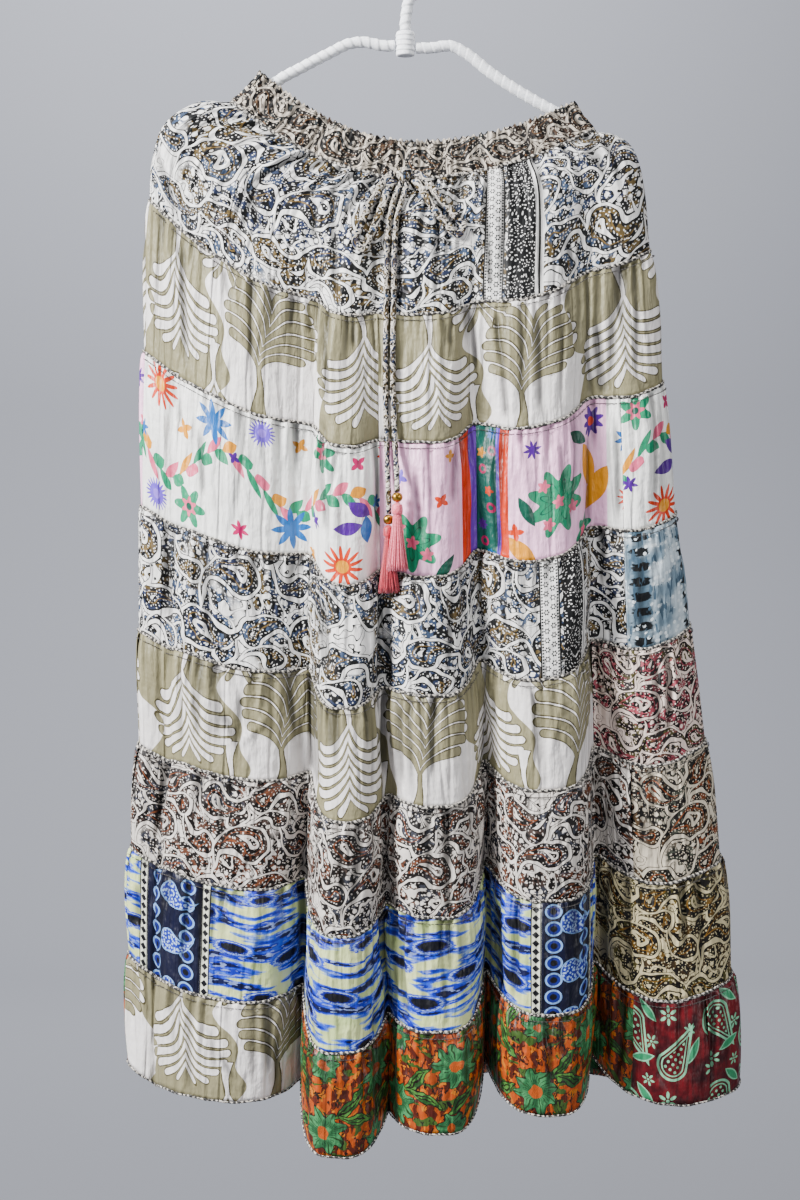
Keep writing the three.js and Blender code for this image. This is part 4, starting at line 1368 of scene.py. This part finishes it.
def striped_border(colour, cloth, start):
    """Paints upright stripes of orange, violet, dark green, lilac and orange, with small
    stars and rings on the green one."""
    x, _ = cloth.parts()
    for place, width, shade in [
        (0, 15, FLAME), (15, 9, ink("6A34B0")), (24, 22, ink("04594C")), (46, 4, LILAC),
        (50, 10, FLAME),
    ]:
        colour = band_of(x, start + place, width).blended(colour, shade)
    for across, down, reach, points, shade in [
        (30, 26, 5.5, 5, OCHRE), (39, 60, 5, 5, FLAME), (31, 92, 6, 8, PLUM), (40, 8, 6, 8, SKY),
    ]:
        spot = local_map(cloth, (start + across, down), (900, 110))
        colour = (rays(spot, reach, points, 0.5) < 0).blended(colour, shade)
        spot = local_map(cloth, (start + across + 2, down + 15), (900, 110))
        colour = (abs(spot.length() - 0.0034) < 0.0011).blended(colour, MAGENTA)
    return colour


PINK_REPEAT = (290, 150)
BORDER_PLACE, PINK_END = 84, 256


def garden_pink(cloth):
    """Larger flowers and leaves on pink, with the striped border, and white past the end."""
    at = places_in(cloth, PINK_REPEAT)
    x, _ = cloth.parts()
    colour = band_of(x, PINK_END, 40).blended(PINK_GROUND, WHITE_GROUND)
    for x0, y0, radius, count, turn in [
        (34, 88, 26, 7, 0.2), (190, 70, 31, 8, 0.4), (226, 112, 15, 6, 0.1),
    ]:
        edge = petals(at(x0, y0, turn), radius, count, 0.2)
        colour = (edge < 0).blended(colour, EMERALD)
        colour = (abs(edge + radius * 0.0004) < 0.0008).blended(colour, FOREST)
    for x0, y0 in [
        (34, 88), (22, 76), (47, 98), (190, 70), (176, 54), (206, 80), (180, 88), (226, 112),
    ]:
        colour = (rays(at(x0, y0, x0 * 0.3), 6.5, 5, 0.5) < 0).blended(colour, PINK)
    for x0, y0, turn, reach in [(232, 56, 0.4, 25), (246, 80, -0.5, 22), (154, 108, 0.9, 18)]:
        colour = (leaf(at(x0, y0, turn), reach, reach * 0.42) < 0).blended(colour, OCHRE)
    for x0, y0, turn in [(216, 24, 0.9), (62, 112, -0.7), (160, 74, 0.5)]:
        colour = (leaf(at(x0, y0, turn), 15, 5) < 0).blended(colour, FOREST)
    for x0, y0, reach, points, shade in [
        (22, 32, 8, 4, LILAC), (60, 52, 7, 4, FLAME), (166, 20, 9, 8, PLUM), (150, 92, 8, 4, FLAME),
        (70, 14, 6, 4, OCHRE), (276, 36, 13, 8, SKY), (277, 88, 13, 12, FLAME),
    ]:
        colour = (rays(at(x0, y0, x0 * 0.2), reach, points, 0.6) < 0).blended(colour, shade)
    colour = flower(colour, at(240, 20, 0.3), 14, 9, 0.2, PLUM, FLAME)
    return striped_border(colour, cloth, BORDER_PLACE)


print("garden prints in repeats of", WHITE_REPEAT, "and", PINK_REPEAT, "mm")

# %% [markdown]
# ## Dyed and woven prints
# The tie-dye has dark bars where the folded cloth was bound. The ikat's threads were dyed
# before weaving, so its bands have feathered ends: a long, flat noise is cut into steps of
# blue, and a fine streaky noise frays the steps. Ringed dark eyes lie among the bands, and
# upright dark blocks cross them.

# %% Tie-dye and ikat
BAR_PITCH = 0.0132


def tie_dye(cloth):
    """Grey-blue cloud with two columns of bars that bleed at their ends."""
    x, y = cloth.parts()
    fray = cloth.scaled(1, 2.2).noise(140.0, 3.0) - 0.5
    cloud = cloth.noise(45.0, 4.0)
    colour = cloud.between(0.36, 0.66).blended(ink("6F8696"), ink("C2D0D8"))
    beat = (y + fray * 0.004) / BAR_PITCH % 1.0
    bar = 1 - abs(beat - 0.5).between(0.20, 0.36)
    first = 1 - abs(x - 0.014 + fray * 0.010).between(0.003, 0.012)
    second = (1 - abs(x - 0.062 + fray * 0.010).between(0.001, 0.009)) * 0.85
    column = first.most(second)
    colour = (column * 0.75).blended(colour, ink("344C5C"))
    dark = (bar * 1.1 + column + fray * 0.9).between(1.35, 1.75)
    colour = dark.blended(colour, ink("060A0E"))
    streaks = cloth.scaled(1, 0.2).noise(300.0, 2.0)
    colour = ((streaks > 0.60) * (cloud < 0.5)).blended(colour, ink("40586A"))
    spots = cloth.cells(150.0)
    return ((spots < 0.24) * (cloud > 0.48)).blended(colour, ink("DCE6EA"))


EYES = """
eye x y length
a 30 12 10
b 92 27 12
c 58 46 9
d 124 55 11
e 10 66 10
f 150 8 8
g 84 76 12
"""
IKAT_REPEAT = (166, 90)
EYE_SCALE = 1900
BLUES = [(0.462, "90A8CC"), (0.482, "5878C4"), (0.508, "2048D0"), (0.56, "0A1CA8"), (0.63, "04083A")]
EYE_RINGS = [(0.0026, "2040C8"), (0.0012, "98B0E2"), (0.0004, "0A1488"), (-0.0010, "030410")]
eyes = table_columns(EYES)


def ikat_block(block, cloth, start, width):
    """Draws one dark block: two columns of ringed ovals, hooked drops full of dots in the
    middle, and at both sides a pale border with black diamonds between thin lines."""
    x, y = cloth.parts()
    for across in (0.27, 0.73):
        ring = local_map(cloth, (start + width * across, 9), (900, 15.5)).scaled(0.85, 1).length()
        for level, shade in [(0.0068, "7FA8E0"), (0.0052, "14207C"), (0.0028, "05060F")]:
            block = (ring < level).blended(block, ink(shade))
    for across, down, turn in [(0.5, 20, 0.5), (0.5, 64, 0.9)]:
        shape = drop(local_map(cloth, (start + width * across, down), (900, 88), turn, 34), 11, 31)
        dots = (cloth.cells(360.0) < 0.34).blended(ink("1A2C9C"), ink("A6C4F0"))
        block = (shape < 0).blended(block, ink("7FA8E0"))
        block = (shape < -0.0012).blended(block, dots)
    for across in (4.5, width - 4.5):
        aside = abs(x * 1000 - start - across)
        block = (aside < 4.6).blended(block, ink("E4E6D2"))
        diamond = aside + (y * 1000).ping_pong(3.8)
        block = (diamond < 3.3).blended(block, ink("0A0A12"))
        block = (abs(aside - 4.0) < 0.55).blended(block, ink("0A0A12"))
    return block


def ikat(blocks):
    """Draws feathered blue bands, with dark border blocks at places in millimetres."""

    def draw(cloth):
        fray = cloth.scaled(1, 8).noise(240.0, 2.0) - 0.5
        x, y = cloth.parts()
        wave = (x * 74.0 + (y * 60.0).sine() * 0.8).sine() * 0.0022
        flow = x.joined(y + wave + fray * 0.0016)
        stroke = flow.scaled(0.16, 1).noise(140.0, 1.5)
        broad = flow.scaled(0.5, 1).noise(26.0, 1.0)
        value = stroke + (broad - 0.5) * 0.42
        colour = broad.between(0.35, 0.65).blended(ink("D6E09E"), ink("BCCE88"))
        for level, shade in BLUES:
            colour = (value > level).blended(colour, ink(shade))
        strands = (flow.scaled(0.22, 1).noise(420.0, 1.0) > 0.60) * (value > 0.50)
        colour = (strands * 0.7).blended(colour, ink("8CA0DC"))
        for x0, y0, length in zip(*eyes.values()):
            eye = local_map(flow, (x0, y0), IKAT_REPEAT).scaled(0.42, 1.15)
            eye = eye.length() + fray * 0.0035 - length / EYE_SCALE
            for level, shade in EYE_RINGS:
                colour = (eye < level).blended(colour, ink(shade))
        for start, width in blocks:
            night = (fray + 0.5).blended(ink("03051A"), ink("080C30"))
            block = ikat_block(night, cloth, start, width)
            colour = band_of(x, start, width).blended(colour, block)
        return colour

    return draw


print(len(BLUES), "blues and", len(eyes["x"]), "eyes in the ikat")

# %% [markdown]
# ## Flower prints of the hem
# The hem's satin shows large green flowers with dark veins on mottled orange, and at its
# right side small mint outlines on deep red.

# %% Orange and red flower satins
FLOWER_REPEAT = (118, 98)
RED_REPEAT = (84, 74)
RED_START, RED_WIDTH = 612, 90
MINT = ink("7AC49A")
HEM_LEAVES = [
    (60, 30, 0.7), (58, 76, -0.9), (113, 44, 2.3), (2, 58, 1.2), (66, 6, -0.3), (36, 62, 2.2),
]
HEM_FLOWERS = [
    (30, 30, 21, 9, 0.3), (90, 68, 20, 8, 1.1), (90, 12, 13, 7, 0.2), (26, 84, 14, 7, 2.0),
]


def orange_flowers(cloth):
    """Green flowers and leaves with dark veins, on streaks of orange, rust, olive and brown.
    The leaves are listed by place and turn, and the flowers also by radius and petals."""
    wavy = cloth.warped(60.0, 2.0, 0.010)
    at = places_in(wavy, FLOWER_REPEAT)
    streaks = wavy.scaled(1.0, 0.45).noise(150.0, 3.0)
    mottle = cloth.noise(120.0, 3.0)
    colour = streaks.between(0.38, 0.56).blended(ink("461204"), ink("A84404"))
    colour = (mottle > 0.60).blended(colour, ink("BC680A"))
    colour = (wavy.scaled(0.5, 1.0).noise(105.0, 2.0) > 0.59).blended(colour, ink("35501A"))
    colour = (abs(streaks - 0.47) < 0.022).blended(colour, ink("120602"))
    for x, y, turn in HEM_LEAVES:
        edge = leaf(at(x, y, turn), 17, 4.6)
        colour = (edge < 0.0009).blended(colour, ink("140802"))
        colour = (edge < 0).blended(colour, (mottle > 0.5).blended(ink("1E4A1A"), ink("467A30")))
        colour = (abs(edge + 0.0028) < 0.0006).blended(colour, ink("160A02"))
    for x, y, radius, count, turn in HEM_FLOWERS:
        spot = at(x, y, turn)
        edge = petals(spot, radius, count, 0.15)
        px, py = spot.parts()
        angle, heart = py.arctan2(px), spot.length()
        fold = (angle * (count * 0.5)).sine()
        green = (mottle + fold * 0.12).between(0.36, 0.66).blended(ink("1E5630"), ink("3E8450"))
        vein = abs((angle * (count * 2)).sine()) < 0.26
        petal = (vein * (heart < radius * 0.00062)).blended(green, ink("140A04"))
        petal = (abs(fold) < 0.16).blended(petal, ink("1E3A18"))
        colour = (edge < 0.0010).blended(colour, ink("140802"))
        colour = (edge < 0).blended(colour, petal)
        core = vein.blended(ink("B8500C"), ink("1C0C04"))
        colour = (heart < radius * 0.00026).blended(colour, core)
    return colour


def spray(spot, radius, count):
    """A flower of separate petals: the angle is wrapped once for each petal, so one oval at
    a distance from the middle comes back all the way round."""
    x, y = spot.parts()
    turn = np.pi / count
    aside = y.arctan2(x).wrap(turn, -turn) * spot.length()
    along = spot.length() - radius * 0.00062
    return aside.joined(along).scaled(2.1, 1).length() - radius * 0.00034


def red_flowers(cloth):
    """Mint loops that hold rows of dots, small flowers and leaves, on deep red."""
    at = places_in(cloth, RED_REPEAT)
    colour = cloth.noise(60.0, 3.0).between(0.3, 0.7).blended(ink("340008"), ink("680612"))
    for x0, y0, turn in [(22, 24, 0.5), (62, 54, 2.6)]:
        place = at(x0, y0, turn)
        loop = drop(place, 13.5, 36)
        colour = (abs(loop) < 0.0011).blended(colour, MINT)
        colour = (abs(loop + 0.0034) < 0.0006).blended(colour, MINT)
        beads = local_map(place, (0, 0), (5.0, 5.0)).length() < 0.0013
        colour = ((loop < -0.0052) * beads).blended(colour, MINT)
    for x0, y0, radius in [(58, 12, 9), (16, 62, 8), (42, 36, 7), (78, 26, 6), (40, 70, 6)]:
        place = at(x0, y0, x0 * 0.1)
        colour = (spray(place, radius, 6) < 0).blended(colour, MINT)
        colour = (place.length() < radius * 0.00017).blended(colour, MINT)
    for x0, y0, turn in [(38, 10, 0.8), (82, 44, -0.5), (34, 52, 1.9)]:
        edge = leaf(at(x0, y0, turn), 12, 4)
        colour = (edge < 0).blended(colour, MINT)
        colour = (edge < -0.0012).blended(colour, ink("2C8A5C"))
    return colour


def hem_print(cloth):
    """The orange flowers, with one stretch of the red print between them."""
    x, _ = cloth.parts()
    return band_of(x, RED_START, RED_WIDTH).blended(orange_flowers(cloth), red_flowers(cloth))


print("hem prints are ready")

# %% [markdown]
# ## From a print to a cloth
# Every cloth is the same light viscose or satin under its print. Its surface is never one
# flat tone: dye takes a little unevenly, satin is smoother in some places than in others,
# and fine crinkles, too small for the mesh, are left to a shallow bump. Along fine crease
# lines and in the mesh's creases the colour is darkened as painted shade.

# %% Cloth materials
PLEAT_SHADE = 0.62
CRINKLE, CRINKLE_DEPTH = 0.75, 0.0022


def cloth_material(name, draw, roughness=0.56, specular=0.22):
    """Paints a print on the cloth map, with painted shade in its creases, and gives it a soft,
    slightly crinkled surface.
    """
    material, shader = new_material(name, roughness, Sheen_Weight=0.04, Sheen_Roughness=0.4)
    shader.inputs["Specular IOR Level"].default_value = specular
    cloth = map_of_cloth(material)
    dyed = draw(cloth)
    # Painted shade: thin crease lines darken the colour a little, and they also feed the bump.
    lines = abs(cloth.scaled(1.0, 0.10).noise(60.0, 1.5) - 0.5).between(0.0, 0.13)
    uneven = (cloth.noise(14.0, 3.0).between(0.2, 0.8) * 0.14 + 0.86) * (lines * 0.08 + 0.92)
    # Painted shade: the colour darkens by the stored depth of each point in its crease.
    uneven = uneven * (1 - pleat_depth(cloth) * PLEAT_SHADE)
    satin = cloth.noise(26.0, 2.0) * 0.22 + (roughness - 0.11)
    creased = cloth.scaled(1.0, 0.28).noise(165.0, 3.0) + cloth.noise(75.0, 2.0) * 0.8 + lines * 0.7
    finish(shader, uneven.shaded(dyed), creased, CRINKLE, CRINKLE_DEPTH, satin)
    return material


IKAT_BLOCKS = ((16, 86), (603, 74))
YOKE_BORDER = 328
SATIN = {"roughness": 0.42, "specular": 0.34}
CLOTHS = {
    "band_cloth": (paisley("band", 0.75, crowd=0.3), {"roughness": 0.66}),
    "paisley_cloth": (paisley("yoke", 1.0, border=YOKE_BORDER), {}),
    "leaf_cloth": (ferns, {"roughness": 0.48}),
    "motif_cloth": (garden_white, SATIN),
    "pink_motif_cloth": (garden_pink, SATIN),
    "tie_dye_cloth": (tie_dye, {"roughness": 0.5}),
    "pink_paisley_cloth": (paisley("pink", 0.78), {}),
    "brown_paisley_cloth": (paisley("brown", 0.86), {}),
    "tan_paisley_cloth": (paisley("tan", 0.9), {}),
    "ikat_cloth": (ikat(IKAT_BLOCKS), SATIN),
    "ochre_paisley_cloth": (paisley("ochre", 0.85), {}),
    "orange_flower_cloth": (hem_print, SATIN),
    "red_flower_cloth": (red_flowers, SATIN),
    "drawstring_cloth": (paisley("cord", 0.42, crowd=0.1), {}),
}
prints = {name: cloth_material(name, draw, **look) for name, (draw, look) in CLOTHS.items()}
print("the largest print has", max(len(m.node_tree.nodes) for m in prints.values()), "nodes")

# %% Which cloth each piece is cut from
for name, piece in cloths.items():
    piece.data.materials.append(prints[SLOT_OF[name]])
for piece in [tail_first, tail_second, *bow]:
    piece.data.materials.append(prints["drawstring_cloth"])
print("cloth is on", len(cloths), "pieces and on the drawstring")

# %% [markdown]
# ## Thread, tape and gilt
# The seam edges are two threads twisted, so their colour changes with the place along them.
# The tape is white cotton, its colour darkened a little where one turn laps the next, as
# painted shade at the step. The beads are worn gilt, and the tassels silky thread whose
# colour differs a little from strand to strand.

# %% Trim materials
def overlock_material():
    """Black and ivory thread in slanting turns, with a frayed border between them."""
    material, shader = new_material("overlock_thread", 0.7, Sheen_Weight=0.2)
    cloth = map_of_cloth(material)
    along, around = cloth.parts()
    fray = cloth.noise(900.0, 2.0) - 0.5
    turn = (along / BRAID_TURN + around / 0.0095 + fray * 1.1).ping_pong(0.5)
    speck = cloth.noise(380.0, 1.0) - 0.5
    colour = (turn + speck * 1.5).between(0.12, 0.20).blended(ink("C4BDB2"), ink("14110F"))
    finish(shader, colour, fray, 0.6, 0.0006)
    return material


def object_material(name, roughness, light, dark, scale, bump_depth, laps=0.0, **constants):
    """A finish on Object coordinates: two tones in a soft noise, and the noise as a bump.
    Where a lap shade is given, it darkens by that share where a turn of tape goes under the
    next one, as painted shade at the step."""
    material, shader = new_material(name, roughness, **constants)
    fresh = material.node_tree.nodes.new("ShaderNodeTexCoord")
    place = Dye(material.node_tree, fresh.outputs["Object"])
    grain = place.node("ShaderNodeTexNoise", {}, {"Vector": place, "Scale": scale, "Detail": 3.0})
    colour = grain.between(0.35, 0.65).blended(ink(dark), ink(light))
    # Painted shade: the colour darkens by the given share at each lap's step.
    if laps:
        colour = (1 - pleat_depth(place) * laps).shaded(colour)
    finish(shader, colour, grain, 0.5, bump_depth, grain * 0.3 + (roughness - 0.15))
    return material


TAPE_LOOK = {"laps": 0.36, "Sheen_Weight": 0.2}
SILK_LOOK = {"Sheen_Weight": 0.4}
overlock = overlock_material()
stitch_thread = object_material("stitch_thread", 0.7, "4A4644", "24211F", 800.0, 0.0002)
tape = object_material("hanger_tape", 0.75, "FAFBFD", "E6E8EE", 420.0, 0.0004, **TAPE_LOOK)
gilt = object_material("bead_gilt", 0.34, "C79A45", "8A6420", 300.0, 0.0003, Metallic=1.0)
coral = object_material("coral_thread", 0.5, "EE7288", "D2485E", 700.0, 0.0003, **SILK_LOOK)
crimson = object_material("red_thread", 0.5, "C4203A", "940C22", 700.0, 0.0003, **SILK_LOOK)
seam_finishes = [stitch_thread if "stitches" in piece.name else overlock for piece in seam_pieces]
trimmed = [*seam_pieces, *hanger_pieces, *trims]
finishes = [*seam_finishes, *[tape] * len(hanger_pieces), gilt, coral, gilt, crimson]
for piece, finished in zip(trimmed, finishes):
    piece.data.materials.append(finished)
wall_finish, wall_shader = new_material("studio_paint", 0.9)
wall_shader.inputs["Base Color"].default_value = ink("6E7077")
print(len(trimmed), "trims are finished")

# %% [markdown]
# ## Floor, wall and light
# A pale grey wall that runs into the floor on one smooth curve, and large soft lamps, as in
# a plain photo studio. The wall is far enough away to walk round the skirt.

# %% The studio
WALL_DISTANCE, FLOOR_HEIGHT, BEND_RADIUS, ROOM_HALF = 4.6, -1.45, 1.4, 5.0
AIR_COLOUR, AIR_STRENGTH = (0.86, 0.9, 1.0, 1), 0.2


def studio_wall():
    """Carries one line, along the floor, round a quarter circle and up, to both sides."""
    bend = np.linspace(0, np.pi / 2, 24)
    far = WALL_DISTANCE - BEND_RADIUS
    line_y = np.concatenate([[-ROOM_HALF], far + BEND_RADIUS * np.sin(bend), [WALL_DISTANCE]])
    line_z = np.concatenate([[0.0], BEND_RADIUS * (1 - np.cos(bend)), [ROOM_HALF]]) + FLOOR_HEIGHT
    sides = np.array([-ROOM_HALF, ROOM_HALF])
    x, y = np.meshgrid(sides, line_y)
    points = np.stack([x, y, line_z[:, None] + 0 * x], axis=-1)
    wall = new_piece("studio_wall", points, grid_faces(len(line_y), 2)[:, ::-1])
    return wall


def soft_lamp(name, place, aim, size, power):
    """A square white lamp that faces a point."""
    light = bpy.data.lights.new(name, "AREA")
    light.size, light.energy = size, power
    lamp = bpy.data.objects.new(name, light)
    bpy.context.scene.collection.objects.link(lamp)
    lamp.location = place
    away = lamp.location - type(lamp.location)(aim)
    lamp.rotation_euler = away.to_track_quat("Z", "Y").to_euler()


wall = studio_wall()
wall.data.materials.append(wall_finish)
for name, place, aim, size, watts in [
    ("lamp_left", (-2.1, -1.2, 0.6), (0, 0, -0.6), 0.7, 255),
    ("lamp_right", (2.0, -2.1, 0.0), (0, 0, -0.6), 1.2, 43),
    ("lamp_above", (-0.2, -0.6, 1.5), (0, 0.1, -0.6), 1.2, 42),
    ("lamp_wall", (-0.5, 2.3, 2.1), (-0.4, 4.6, 0.6), 2.0, 350),
    ("lamp_back", (0.4, 3.2, 2.0), (0, 0, -0.8), 1.6, 50),
]:
    soft_lamp(name, place, aim, size, watts)
world = bpy.data.worlds.new("studio_air")
bpy.context.scene.world = world
world.use_nodes = True
air = world.node_tree.nodes["Background"]
air.inputs["Color"].default_value = AIR_COLOUR
air.inputs["Strength"].default_value = AIR_STRENGTH
print("studio is lit")

# %% The sizes of the frame and of the finished skirt
depsgraph = bpy.context.evaluated_depsgraph_get()
finished = [o.evaluated_get(depsgraph).data for o in bpy.data.objects if o.type == "MESH"]
triangles = [len(mesh.loops) - 2 * len(mesh.polygons) for mesh in finished]
print("triangles:", sum(triangles), "and in the largest piece", max(triangles))
